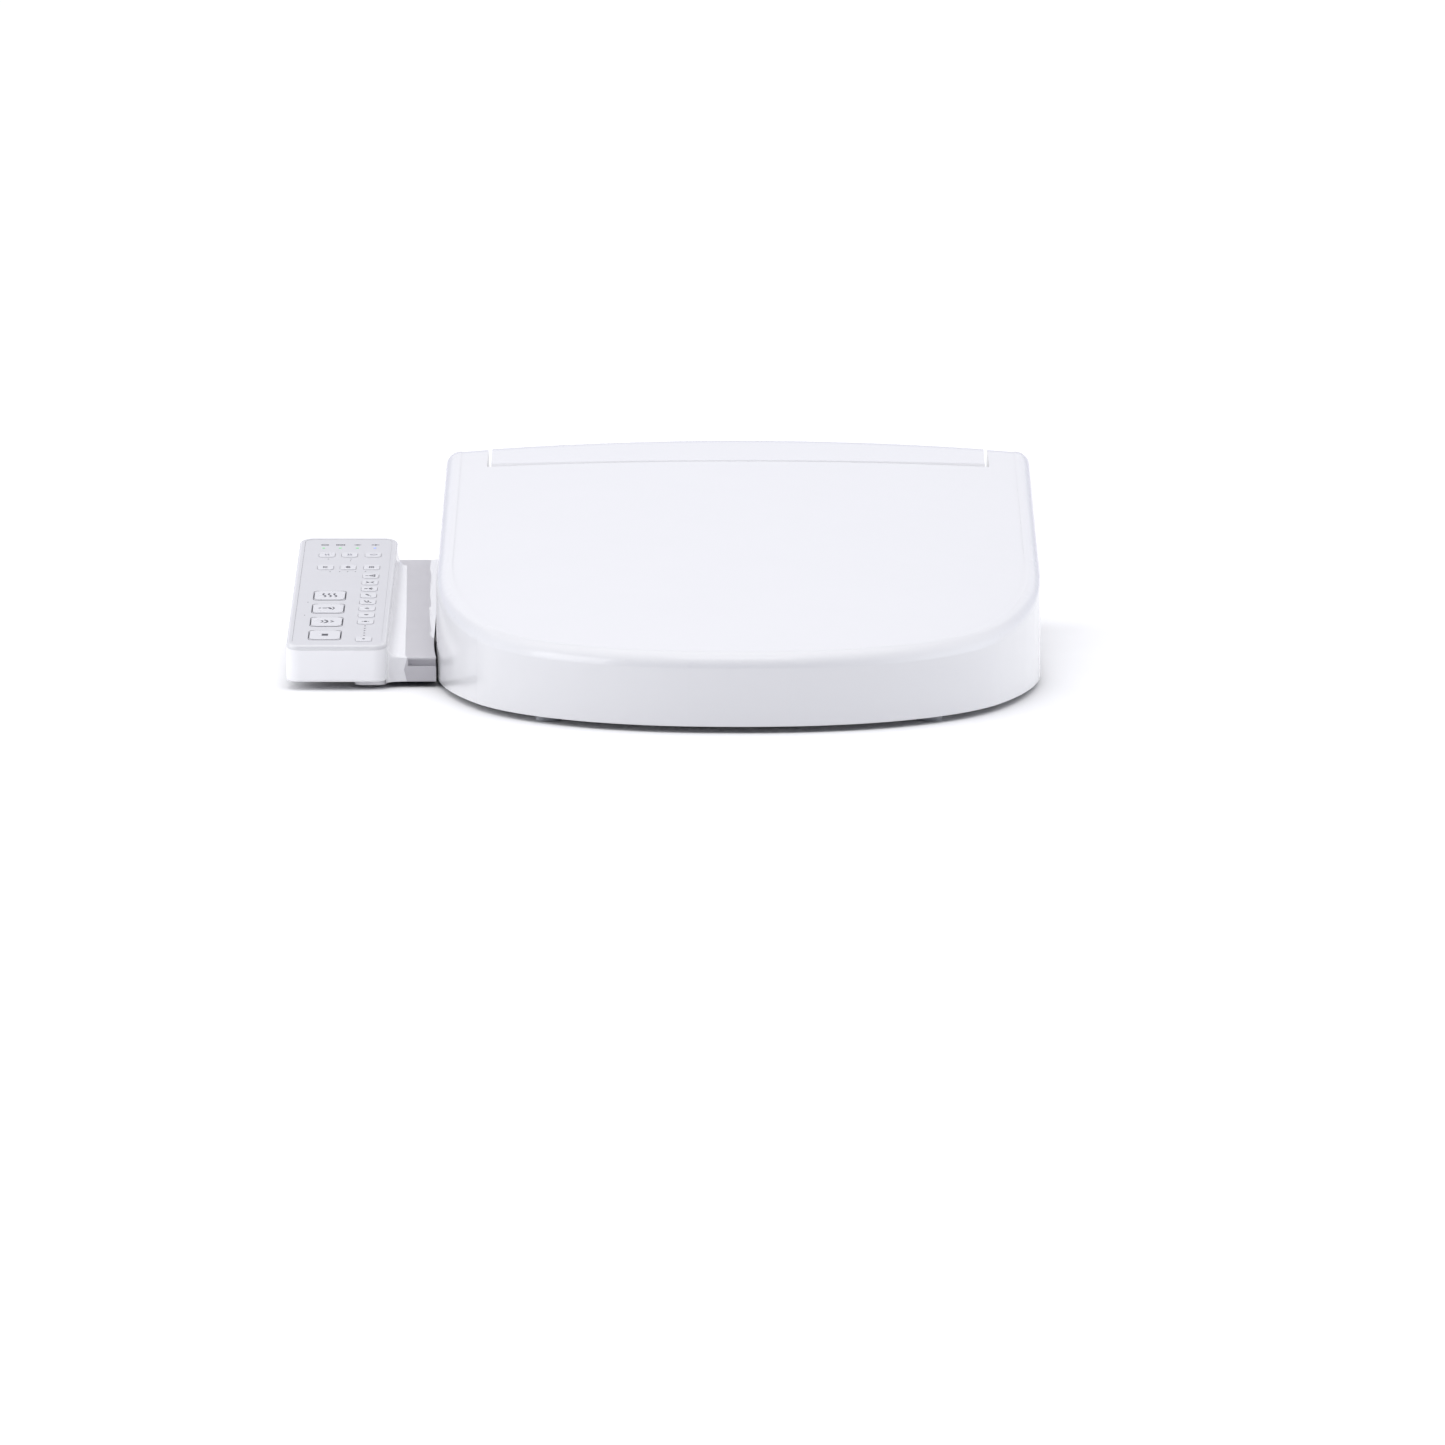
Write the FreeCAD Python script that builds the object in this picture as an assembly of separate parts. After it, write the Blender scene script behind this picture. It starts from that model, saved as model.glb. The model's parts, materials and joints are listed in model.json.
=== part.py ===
import FreeCAD, Part
import math
import os

from FreeCAD import Placement, Rotation, Vector

# Electric bidet seat: a rear unit that slides on to a plate bolted to the bowl, a seat ring and a lid that
# turn on one hinge line, and a key panel on an arm beside the seat. Millimetres. X runs to the right as one
# faces the seat, Y runs back from the front edge to the hinge, and Z is up. The origin is midway between the
# two bolts, on the plane of the bowl's rim.

# ---- driving dimensions ----------------------------------------------------------------------------------
LID_HALF_WIDTH = 193.0
LID_FRONT_Y = -462.0
NOSE_LENGTH = 250.0          # the part of the lid's outline that is curved in plan
NOSE_FRONT_RADIUS = 253.0    # of the first of the three arcs of each half
NOSE_TURNS = (7.1, 67.4)     # degrees from the front, where one arc runs into the next
LID_GAP = 4.0                # from the rim to the lid's lower edge
LID_WALL = 3.0
LID_EDGE_RADIUS = 10.0
LID_SKIRT_END_Y = -66.0      # behind this the sides are cut up, clear of the unit
LID_SKIRT_CORNER = 18.0      # the radius of that cut's front corner
TOP_SLOPE = 9.237            # degrees, the lid's top rising to the back
CROWN_RADIUS = 2350.0        # the side-to-side crown of the unit, and of the lid at its back
NOSE_CROWN_RADIUS = 1250.0   # the lid's crown at its front
NOSE_DROOP = 4.3             # how much further the lid's front has dropped at DROOP_X from the middle
DROOP_X = 154.0
CREASE_INSET, CREASE_STEP = 10.4, 0.35   # the lid's top sits a little below the roll of its edge

HINGE_Y, HINGE_Z = 18.0, 80.0
BARREL_RADIUS = 46.0         # the round back, about the hinge line
STRIP_RADII = (61.3, 50.0)   # the cover strip's front edge, from the hinge line: at its middle and its ends
STRIP_GAP = 1.0              # from the strip to the lid's back edge
RECESS_RADIUS = 49.0         # the unit's hollow ends, where the lid's arms turn
ARM_INNER_X = 165.0          # the lid's arms run from here out to its side walls
PIN_RADIUS = 5.0
PIN_CLEARANCE = 0.08

UNIT_HALF_WIDTH = 191.0
BLOCK_HALF_WIDTH = 162.3
UNIT_FRONT_Y = -80.0
UNIT_BACK_Y = HINGE_Y + BARREL_RADIUS
UNIT_BOTTOM_Z = 6.0
UNIT_SPLIT_Z = 40.0
UNIT_WALL = 3.0
CHEEK_TOP_Z = 52.0
CHEEK_INNER_X = 180.0        # the seat's arms run between the block and the cheeks
SEAM = 0.3                   # between two halves of a case
UNDER_LID = 12.0             # from the lid's top down to the unit's top
SCREW_PLACES = ((112, -68), (150, -40), (150, 20))

BOLT_SPACING = 140.0
BOLT_RADIUS, BOLT_NECK_RADIUS = 4.0, 4.7
BOLT_SLOT_RADIUS = 6.2
BOLT_DROP = 42.0
PAD_THICKNESS = 1.5
PLATE_HALF_X, PLATE_HALF_Y = 84.0, 45.0
PLATE_TOP_Z = 7.0
FLANGE_HALF_X, FLANGE_Z = 90.0, 4.5
CHANNEL_HALF_X, CHANNEL_FRONT_Y, CHANNEL_TOP_Z = 90.5, -52.0, 15.0

SEAT_INSET = 6.0
SEAT_WALL = 3.0
SEAT_BOTTOM_Z = 8.0
SEAT_SPLIT_Z = 12.0
SEAT_FRONT_TOP_Z, SEAT_SLOPE = 36.0, 3.2
SEAT_BACK_Y = -85.0
SEAT_ARM_X = (169.5, 178.0)
SEAT_ARM_RADIUS = 13.0
SEAT_HOLE_Y = (-395.0, -130.0)
SEAT_HOLE_HALF = 105.0
SEAT_NOTCH_HALF_X, SEAT_NOTCH_Y, SEAT_NOTCH_Z = 157.0, -134.0, 31.0

PANEL_X = (-287.0, -223.0)
PANEL_Y = (-270.0, -40.0)
PANEL_BOTTOM_Z = 5.0
PANEL_FRONT_Z, PANEL_SLOPE = 28.5, 10.0
PANEL_CORNER = 9.0
PANEL_WALL = 2.5
BEZEL_DEPTH, BEZEL_WIDTH, BEZEL_EDGE = 3.0, 3.6, 2.0
BEZEL_SEAM = 0.06
FASCIA_DROP, FASCIA_THICKNESS, FASCIA_GAP = 0.2, 1.8, 0.1
ARM_X = (-223.0, -194.6)
ARM_Y = (-255.0, -36.0)
ARM_BOTTOM_Z, ARM_TOP_Z = 3.5, (18.8, 53.8)   # the top at the arm's front and back
ARM_LID_GAP = 1.6
ARM_GROOVE_Z, ARM_GROOVE_DEPTH = (13.4, 17.6), 3.0
FLUTE_FRONT, FLUTE_BACK = (12.3, 8.8), (6.0, 12.4)   # width and height of the hollow beside the panel
RISE_FRONT, RISE_BACK = (5.0, 0.2), (9.0, 2.2)       # and of the slight rise beside the lid

KEY_PROUD, KEY_EDGE, KEY_DEPTH, KEY_TRAVEL = 0.35, 0.3, 4.4, 0.6
SMALL_KEY, SMALL_CORNER, SMALL_GAP = (10.4, 10.0), 2.4, 0.2
BIG_KEY, BIG_CORNER, BIG_GAP = (19.6, 18.6), 4.2, 0.4
SMALL_KEYS = {
    "key_water_heat": (-268.1, -78.0),
    "key_seat_heat": (-253.4, -78.0),
    "key_air_heat": (-238.1, -78.0),
    "key_power_save": (-268.1, -105.0),
    "key_night_light": (-253.4, -105.0),
    "key_nozzle_clean": (-238.1, -105.0),
    "key_auto": (-238.1, -123.6),
    "key_kids": (-238.1, -137.7),
    "key_wide_wash": (-238.1, -151.2),
    "key_massage": (-238.1, -165.2),
    "key_nozzle_forward": (-238.1, -178.9),
    "key_nozzle_back": (-238.1, -192.7),
    "key_aerate": (-238.1, -206.4),
    "key_pressure_up": (-238.1, -220.3),
    "key_pressure_down": (-238.1, -256.4),
}
BIG_KEYS = {
    "key_dry": (-263.0, -165.2),
    "key_front_wash": (-263.0, -192.7),
    "key_rear_wash": (-263.0, -220.3),
    "key_stop": (-263.0, -248.0),
}
STATUS_X, STATUS_Y = (-270.9, -260.1, -248.9, -237.4), -62.7
LEVEL_X, LEVEL_Y = -238.1, (-228.6, -233.5, -238.4, -243.3, -248.2)

NOZZLE_SLOPE = 10.0          # degrees below level, running forward
NOZZLE_EXIT_Z = 22.0
NOZZLE_RADIUS = 7.0
NOZZLE_LENGTH, TIP_LENGTH = 108.0, 18.0
NOZZLE_TRAVEL = 80.0
RACK_PITCH_HEIGHT, TOOTH_ADDENDUM, TOOTH_DEDENDUM = 5.6, 0.6, 0.9
GEAR_TEETH, GEAR_PITCH_RADIUS = 12, 6.0
GEAR_ALONG = 38.0            # from the nozzle's front end, measured along it

FAN_X = (-150.0, -120.0)
FAN_Y, FAN_Z, FAN_RADIUS = -38.0, 56.0, 26.0
OUTLET_X, OUTLET_Z = (-78.0, -42.0), (10.5, 25.0)
INLET_Y, INLET_Z, INLET_RADIUS = 32.0, 20.0, 10.4
GLAND_X, GLAND_Z = 140.0, 22.0
BUTTON_Y, BUTTON_Z, BUTTON_RADIUS = 34.0, 20.0, 7.5

FAR = 400.0                  # beyond every part of the object

slope = math.radians(TOP_SLOPE)
X_AXIS, Y_AXIS, Z_AXIS = Vector(1, 0, 0), Vector(0, 1, 0), Vector(0, 0, 1)


# ---- plain shapes ----------------------------------------------------------------------------------------
def box(x, y, z):
    """A block between the two values of x, of y and of z."""
    return Part.makeBox(x[1] - x[0], y[1] - y[0], z[1] - z[0], Vector(x[0], y[0], z[0]))


def both_sides(shape):
    """A shape on the right and its mirror image on the left, as one shape."""
    return shape.fuse(shape.mirror(Vector(0, 0, 0), X_AXIS))


def compound(shapes):
    return Part.makeCompound([solid for shape in shapes for solid in shape.Solids])


def rod_x(radius, x, y, z):
    """A rod along X from x[0] to x[1]."""
    return Part.makeCylinder(radius, x[1] - x[0], Vector(x[0], y, z), X_AXIS)


def rod_z(radius, x, y, z):
    return Part.makeCylinder(radius, z[1] - z[0], Vector(x, y, z[0]), Z_AXIS)


def tube_x(outer, inner, x, y, z):
    return rod_x(outer, x, y, z).cut(rod_x(inner, (x[0] - 1, x[1] + 1), y, z))


def vertical_edges(shape):
    boxes = [(edge, edge.BoundBox) for edge in shape.Edges]
    return [edge for edge, box in boxes if box.ZLength > 0.5 and box.XLength + box.YLength < 0.01]


def rounded_block(x, y, z, radius):
    """A block with its four upright edges rounded."""
    block = box(x, y, z)
    return block.makeFillet(radius, vertical_edges(block))


def side_slab(points, x):
    """A polygon of (y, z) points, drawn out along X."""
    wire = Part.makePolygon([Vector(x[0], y, z) for y, z in points + points[:1]])
    return Part.Face(wire).extrude(Vector(x[1] - x[0], 0, 0))


def around_hinge(radius, degrees):
    """The (y, z) point at an angle about the hinge line, 0 at the back and 90 on top."""
    turn = math.radians(degrees)
    return HINGE_Y + radius * math.cos(turn), HINGE_Z + radius * math.sin(turn)


def side_edges(steps):
    """Edges in the plane X = 0: each step is a (y, z) point, or a (middle, end) pair of points for an arc."""
    edges = []
    here = steps[0]
    for step in steps[1:] + steps[:1]:
        if isinstance(step[0], tuple):
            middle, end = step
            arc = Part.Arc(Vector(0, *here), Vector(0, *middle), Vector(0, *end))
            edges.append(arc.toShape())
            here = end
        else:
            edges.append(Part.makeLine(Vector(0, *here), Vector(0, *step)))
            here = step
    return edges


def crowned(steps, half_width):
    """A side profile turned about a far axis below, so that it is crowned from side to side, and trimmed."""
    face = Part.Face(Part.Wire(side_edges(steps)))
    centre = Vector(0, 0, HINGE_Z + BARREL_RADIUS - CROWN_RADIUS)
    spread = math.degrees(math.asin((half_width + 12) / CROWN_RADIUS))
    face.rotate(centre, Y_AXIS, -spread)
    solid = face.revolve(centre, Y_AXIS, 2 * spread)
    return solid.common(box((-half_width, half_width), (-FAR * 2, FAR), (-FAR, FAR)))


# ---- outlines --------------------------------------------------------------------------------------------
def top_z(y, drop=0.0):
    """Height of the sloping top on the centre line, or of a line that far below it."""
    return HINGE_Z + (BARREL_RADIUS - drop) / math.cos(slope) + (y - HINGE_Y) * math.tan(slope)


def spindle(middle, end, half_width):
    """A round body about the hinge line, with one radius at its middle and a smaller one at its ends."""
    ends = [Vector(side * half_width, HINGE_Y, HINGE_Z + end) for side in (-1, 1)]
    side = Part.Arc(ends[0], Vector(0, HINGE_Y, HINGE_Z + middle), ends[1]).toShape()
    feet = [Vector(side * half_width, HINGE_Y, HINGE_Z) for side in (1, -1)]
    rest = [Part.makeLine(a, b) for a, b in zip([ends[1]] + feet, feet + [ends[0]])]
    return Part.Face(Part.Wire([side] + rest)).revolve(Vector(0, HINGE_Y, HINGE_Z), X_AXIS, 360)


def nose_arcs():
    """Radii of the outline's three arcs on each side: the last two close the outline's width and length."""
    one, two = (math.radians(turn) for turn in NOSE_TURNS)
    width = LID_HALF_WIDTH - NOSE_FRONT_RADIUS * math.sin(one)
    length = NOSE_LENGTH - NOSE_FRONT_RADIUS * (1 - math.cos(one))
    a, b = math.sin(two) - math.sin(one), 1 - math.sin(two)
    c, d = math.cos(one) - math.cos(two), math.cos(two)
    scale = a * d - b * c
    return NOSE_FRONT_RADIUS, (width * d - b * length) / scale, (a * length - width * c) / scale


def nose_point(degrees, inset):
    """The point of the outline's right half where it has turned that far from the front."""
    here, x, y = 0.0, 0.0, LID_FRONT_Y
    for radius, end in zip(nose_arcs(), NOSE_TURNS + (90.0,)):
        turn = math.radians(min(degrees, end))
        if turn > here:
            x += radius * (math.sin(turn) - math.sin(here))
            y += radius * (math.cos(here) - math.cos(turn))
            here = turn
    turn = math.radians(degrees)
    return Vector(x - inset * math.sin(turn), y + inset * math.cos(turn), 0)


def nose_outline(inset, back_y):
    """The lid's outline in plan, moved in by inset, as a face at Z = 0."""
    stops = (0.0,) + NOSE_TURNS + (90.0,)
    edges = []
    for start, end in zip(stops, stops[1:]):
        ends = [nose_point(turn, inset) for turn in (start, (start + end) / 2, end)]
        edges.append(Part.Arc(*ends).toShape())
        edges.append(Part.Arc(*[Vector(-p.x, p.y, 0) for p in ends]).toShape())
    side = nose_point(90.0, inset)
    left, right = Vector(-side.x, back_y, 0), Vector(side.x, back_y, 0)
    edges.append(Part.makeLine(side, right))
    edges.append(Part.makeLine(right, left))
    edges.append(Part.makeLine(left, Vector(-side.x, side.y, 0)))
    return Part.Face(Part.Wire(Part.__sortEdges__(edges)))


def column(face, z):
    face.translate(Vector(0, 0, z[0]))
    return face.extrude(Vector(0, 0, z[1] - z[0]))


# ---- lid -------------------------------------------------------------------------------------------------
def lid_station(x, inset):
    """The side profile of the volume under the lid's top, at that far from the middle."""
    front = LID_FRONT_Y
    droop = x**2 / (2 * NOSE_CROWN_RADIUS) + NOSE_DROOP * (x / DROOP_X) ** 4
    high = top_z(front, inset) - droop
    radius = BARREL_RADIUS - inset - x**2 / (2 * CROWN_RADIUS)
    away = Vector(0, front - HINGE_Y, high - HINGE_Z)
    tangent = math.degrees(math.atan2(away.z, away.y) - math.acos(radius / away.Length)) % 360
    rise = (around_hinge(radius, tangent)[1] - high) / (around_hinge(radius, tangent)[0] - front)
    steps = [
        (front - 20, -60.0),
        (front - 20, high - 20 * rise),
        around_hinge(radius, tangent),
        (around_hinge(radius, 45), around_hinge(radius, 0)),
        (HINGE_Y + radius, -60.0),
    ]
    return Part.Wire(side_edges(steps)).translated(Vector(x, 0, 0))


def lid_volume(inset):
    """Everything under the lid's top, moved in by inset."""
    stations = [lid_station(x, inset) for x in (-204, -170, -130, -70, 0, 70, 130, 170, 204)]
    body = Part.makeLoft(stations, True, False)
    return body.common(column(nose_outline(inset, FAR), (LID_GAP - inset, FAR)))


def lid_top_edges(solid):
    """The edges round the lid's top, and the two upright ones at its back corners."""
    found = []
    for edge in solid.Edges:
        middle = edge.valueAt((edge.FirstParameter + edge.LastParameter) / 2)
        upright = edge.BoundBox.XLength + edge.BoundBox.YLength < 0.01
        outline = abs(middle.x) > LID_HALF_WIDTH - 0.5 or middle.y < LID_FRONT_Y + 1
        if outline and (middle.y > UNIT_BACK_Y - 0.5 if upright else middle.z > LID_GAP + 20):
            found.append(edge)
    return found


def lid_skirt_cut():
    """What is taken off under the lid's sides at the back, where the unit and the panel's arm come out."""
    front, top, corner = LID_SKIRT_END_Y, 56.0, LID_SKIRT_CORNER
    slant = corner * (1 - math.sqrt(0.5))
    edges = side_edges(
        [
            (front, -60.0),
            (front, top - corner),
            ((front + slant, top - slant), (front + corner, top)),
            (HINGE_Y + 12, top),
            (HINGE_Y + 22, HINGE_Z - 10.6),
            (FAR, HINGE_Z - 10.6),
            (FAR, -60.0),
        ]
    )
    face = Part.Face(Part.Wire(edges))
    face.translate(Vector(-FAR, 0, 0))
    return face.extrude(Vector(2 * FAR, 0, 0))


def lid_shell():
    outer = lid_volume(0)
    outer = outer.makeFillet(LID_EDGE_RADIUS, lid_top_edges(outer))
    sunk = column(nose_outline(CREASE_INSET, FAR), (LID_GAP, FAR)).cut(lid_volume(CREASE_STEP))
    outer = outer.cut(sunk)
    inner = lid_volume(LID_WALL)
    shell = outer.cut(inner)
    arm_walls = both_sides(box((ARM_INNER_X, ARM_INNER_X + LID_WALL), (-42, FAR), (LID_GAP, FAR)))
    lug = rod_x(11, (179.5, LID_HALF_WIDTH - 2), HINGE_Y, HINGE_Z)
    lug = lug.fuse(box((179.5, LID_HALF_WIDTH - 2), (HINGE_Y - 4, HINGE_Y + 4), (HINGE_Z, FAR)))
    ribs = both_sides(box((78, 81), (-430, -30), (70, FAR)))
    ribs = ribs.common(outer).cut(lid_volume(LID_WALL + 4))
    extras = arm_walls.fuse(both_sides(lug)).common(outer)
    shell = shell.fuse([extras, ribs])
    shell = shell.cut(lid_skirt_cut())
    shell = shell.cut(spindle(STRIP_RADII[0] + STRIP_GAP, STRIP_RADII[1] + STRIP_GAP, ARM_INNER_X))
    bore = rod_x(PIN_RADIUS + PIN_CLEARANCE, (ARM_INNER_X - 5, LID_HALF_WIDTH - 3), HINGE_Y, HINGE_Z)
    return shell.cut(both_sides(bore)).removeSplitter()


def lid_bumpers():
    """Four soft pads under the lid, which rest on the seat."""
    pads = []
    for x, y in ((130, -352), (146, -160)):
        pads.append(both_sides(rod_z(6, x, y, (seat_top_z(y) + 0.6, FAR)).common(lid_volume(LID_WALL))))
    return compound(pads)


# ---- seat ------------------------------------------------------------------------------------------------
def seat_top_z(y):
    return SEAT_FRONT_TOP_Z + (y - LID_FRONT_Y) * math.tan(math.radians(SEAT_SLOPE))


def seat_hole(grow):
    middle = sum(SEAT_HOLE_Y) / 2
    half_y = (SEAT_HOLE_Y[1] - SEAT_HOLE_Y[0]) / 2 + grow
    half_x = SEAT_HOLE_HALF + grow
    points = []
    for step in range(24):
        turn = math.tau * step / 24
        across = math.copysign(abs(math.sin(turn)) ** 0.9, math.sin(turn))
        along = math.copysign(abs(math.cos(turn)) ** 0.9, math.cos(turn))
        points.append(Vector(half_x * across, middle - half_y * along, 0))
    curve = Part.BSplineCurve()
    curve.interpolate(Points=points, PeriodicFlag=True)
    return column(Part.Face(Part.Wire(curve.toShape())), (-FAR, FAR))


def seat_volume(inset):
    """The ring, moved in by inset all round."""
    back = SEAT_BACK_Y - inset
    bottom = SEAT_BOTTOM_Z + inset
    outline = column(nose_outline(SEAT_INSET + inset, back), (bottom, FAR))
    profile = side_slab(
        [
            (-FAR * 2, bottom),
            (-FAR * 2, seat_top_z(-FAR * 2) - inset),
            (FAR, seat_top_z(FAR) - inset),
            (FAR, bottom),
        ],
        (-FAR, FAR),
    )
    notch = box(
        (-SEAT_NOTCH_HALF_X - inset, SEAT_NOTCH_HALF_X + inset),
        (SEAT_NOTCH_Y - inset, FAR),
        (-FAR, SEAT_NOTCH_Z + inset),
    )
    return outline.common(profile).cut(seat_hole(inset)).cut(notch)


def seat_rim_edges(solid):
    """The long edges of the ring's top: the outer one and the one round the hole."""
    found = []
    for edge in solid.Edges:
        middle = edge.valueAt((edge.FirstParameter + edge.LastParameter) / 2)
        on_top = abs(middle.z - seat_top_z(middle.y)) < 0.01
        upright = edge.BoundBox.XLength + edge.BoundBox.YLength < 0.01
        if on_top and not upright:
            found.append(edge)
    return found


def seat_arm():
    """One of the two arms that reach back beside the unit to the hinge pins."""
    eye_y, eye_z, radius = HINGE_Y, HINGE_Z, SEAT_ARM_RADIUS
    arm = side_slab(
        [
            (-112.0, 16.0),
            (-112.0, 46.0),
            (SEAT_BACK_Y, 52.0),
            (eye_y - 5, eye_z + radius - 1),
            (eye_y + 5, eye_z - radius + 1),
            (SEAT_BACK_Y, 20.0),
        ],
        SEAT_ARM_X,
    )
    arm = arm.fuse(rod_x(radius, SEAT_ARM_X, eye_y, eye_z))
    return arm.cut(rod_x(PIN_RADIUS + PIN_CLEARANCE, (150, 200), eye_y, eye_z))


def seat_shells():
    """The ring's upper and lower mouldings."""
    outer = seat_volume(0)
    outer = outer.makeFillet(9.0, seat_rim_edges(outer))
    hollow = outer.cut(seat_volume(SEAT_WALL))
    above = box((-FAR, FAR), (-FAR * 2, FAR), (SEAT_SPLIT_Z + SEAM, FAR))
    below = box((-FAR, FAR), (-FAR * 2, FAR), (-FAR, SEAT_SPLIT_Z))
    upper = hollow.common(above).fuse(both_sides(seat_arm())).removeSplitter()
    return upper, hollow.common(below)


def seat_heater():
    """The heating mat under the ring's upper moulding: a flat band round the hole."""
    top = side_slab(
        [
            (-FAR * 2, seat_top_z(-FAR * 2) - 5.0),
            (-FAR * 2, seat_top_z(-FAR * 2) - 3.4),
            (SEAT_NOTCH_Y - 20, seat_top_z(SEAT_NOTCH_Y - 20) - 3.4),
            (SEAT_NOTCH_Y - 20, seat_top_z(SEAT_NOTCH_Y - 20) - 5.0),
        ],
        (-FAR, FAR),
    )
    outline = column(nose_outline(SEAT_INSET + 16, SEAT_NOTCH_Y - 20), (-FAR, FAR))
    return outline.cut(seat_hole(16)).common(top)


def seat_bumpers():
    """Four feet under the ring, which rest on the rim."""
    pads = []
    for x, y in ((118, -392), (152, -175)):
        pad = box((x - 8, x + 8), (y - 16, y + 16), (0, SEAT_BOTTOM_Z))
        pad = pad.makeFillet(6, vertical_edges(pad))
        pads.append(both_sides(pad))
    return compound(pads)


# ---- unit ------------------------------------------------------------------------------------------------
def unit_block(inset):
    """The unit between the lid's arms, with the cover strip that shows behind the lid."""
    barrel, half = BARREL_RADIUS - inset, BLOCK_HALF_WIDTH - inset
    front = UNIT_FRONT_Y + inset

    def body(top_drop, bottom):
        steps = [
            (front, bottom),
            (front, top_z(front, top_drop)),
            around_hinge(BARREL_RADIUS - top_drop, 90 + TOP_SLOPE),
            (around_hinge(BARREL_RADIUS - top_drop, 45), around_hinge(BARREL_RADIUS - top_drop, 0)),
            (HINGE_Y + BARREL_RADIUS - top_drop, bottom),
        ]
        return crowned(steps, half)

    strip = body(inset, -60.0).common(spindle(STRIP_RADII[0] - inset, STRIP_RADII[1] - inset, half + 1))
    back = body(inset, -60.0).common(box((-FAR, FAR), (HINGE_Y, FAR), (-FAR, FAR)))
    block = body(UNDER_LID + inset, -60.0).fuse([strip, back])
    return block.common(box((-FAR, FAR), (-FAR, FAR), (UNIT_BOTTOM_Z + inset, FAR))).removeSplitter()


def unit_base(inset):
    """The wider foot of the unit, with a cheek outside each of the seat's arms."""
    half = UNIT_HALF_WIDTH - inset
    height = (UNIT_BOTTOM_Z + inset, CHEEK_TOP_Z - inset)
    base = box((-half, half), (LID_SKIRT_END_Y + LID_SKIRT_CORNER + inset, UNIT_BACK_Y - inset), height)
    base = base.makeFillet(14.0 - inset, [e for e in vertical_edges(base) if e.BoundBox.YMin > 0])
    under_skirt = half - LID_WALL + 0.5
    nose = rounded_block((-under_skirt, under_skirt), (UNIT_FRONT_Y + 2 + inset, 0), height, 8.0 - inset)
    base = base.fuse(nose)
    recess = rod_x(RECESS_RADIUS + inset, (BLOCK_HALF_WIDTH - inset, FAR), HINGE_Y, HINGE_Z)
    slot = box(
        (BLOCK_HALF_WIDTH - inset, CHEEK_INNER_X + inset),
        (-FAR, HINGE_Y),
        (SEAT_BOTTOM_Z + 6 + inset, FAR),
    )
    return base.cut(both_sides(recess.fuse(slot)))


def unit_volume(inset):
    channel = box(
        (-CHANNEL_HALF_X - inset, CHANNEL_HALF_X + inset),
        (CHANNEL_FRONT_Y - inset, FAR),
        (-FAR, CHANNEL_TOP_Z + inset),
    )
    return unit_block(inset).fuse(unit_base(inset)).cut(channel)


def nozzle_place(shape, along=0.0):
    """Puts a shape drawn along +Y from the origin on the nozzle's line, that far back from its front end."""
    turn = Rotation(X_AXIS, NOZZLE_SLOPE)
    start = Vector(0, UNIT_FRONT_Y + 1, NOZZLE_EXIT_Z)
    shape.Placement = Placement(start + turn.multVec(Vector(0, along, 0)), turn).multiply(shape.Placement)
    return shape


def unit_openings():
    """Holes through the case: nozzle, dryer outlet, pins, inlet, gland, release button and air slots."""
    cuts = [nozzle_place(Part.makeCylinder(NOZZLE_RADIUS + 0.6, 30, Vector(0, -15, 0), Y_AXIS))]
    cuts.append(box(OUTLET_X, (UNIT_FRONT_Y - 1, UNIT_FRONT_Y + 6), OUTLET_Z))
    cuts.append(both_sides(rod_x(PIN_RADIUS + 0.1, (BLOCK_HALF_WIDTH - 8, 200), HINGE_Y, HINGE_Z)))
    cuts.append(rod_x(9.2, (-UNIT_HALF_WIDTH - 1, -UNIT_HALF_WIDTH + 5), INLET_Y, INLET_Z))
    cuts.append(rod_x(BUTTON_RADIUS + 0.4, (UNIT_HALF_WIDTH - 5, UNIT_HALF_WIDTH + 1), BUTTON_Y, BUTTON_Z))
    cuts.append(Part.makeCylinder(6.2, 10, Vector(GLAND_X, UNIT_BACK_Y - 6, GLAND_Z), Y_AXIS))
    for number in range(9):
        x = -150.0 + 6.0 * number
        cuts.append(box((x, x + 2.6), (UNIT_BACK_Y - 5, UNIT_BACK_Y + 1), (20.0, 37.0)))
    return cuts


def plate_rails():
    """The two rails under the unit that hook under the plate's flanges."""
    y = (CHANNEL_FRONT_Y, UNIT_BACK_Y - 3)
    rail = box((CHANNEL_HALF_X, CHANNEL_HALF_X + 8), y, (1.2, CHANNEL_TOP_Z + 1))
    lip = box((PLATE_HALF_X + 0.8, CHANNEL_HALF_X + 1), y, (1.2, FLANGE_Z - 0.4))
    return both_sides(rail.fuse(lip))


def unit_cases():
    """The lower and the upper case."""
    hollow = unit_volume(0).cut(unit_volume(UNIT_WALL)).cut(unit_openings())
    half = BLOCK_HALF_WIDTH + SEAM
    cheeks = both_sides(box((half, FAR), (-FAR, FAR), (-FAR, FAR)))
    below = box((-FAR, FAR), (-FAR, FAR), (-FAR, UNIT_SPLIT_Z)).fuse(cheeks)
    above = box((-half, half), (-FAR, FAR), (UNIT_SPLIT_Z + SEAM, FAR))
    lower = hollow.common(below).fuse(plate_rails()).removeSplitter()
    return lower, hollow.common(above).removeSplitter()


def unit_feet():
    feet = [both_sides(rod_z(8, 150, y, (0, UNIT_BOTTOM_Z))) for y in (-62, 42)]
    return compound(feet)


def case_screws():
    """Six screws from below that hold the two cases together."""
    screws = []
    for x, y in SCREW_PLACES:
        head = rod_z(3.4, x, y, (UNIT_BOTTOM_Z - 1.6, UNIT_BOTTOM_Z))
        shank = rod_z(1.6, x, y, (UNIT_BOTTOM_Z - 0.2, UNIT_BOTTOM_Z + 2.8))
        screws.append(both_sides(head.fuse(shank)))
    return compound(screws)


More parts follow.
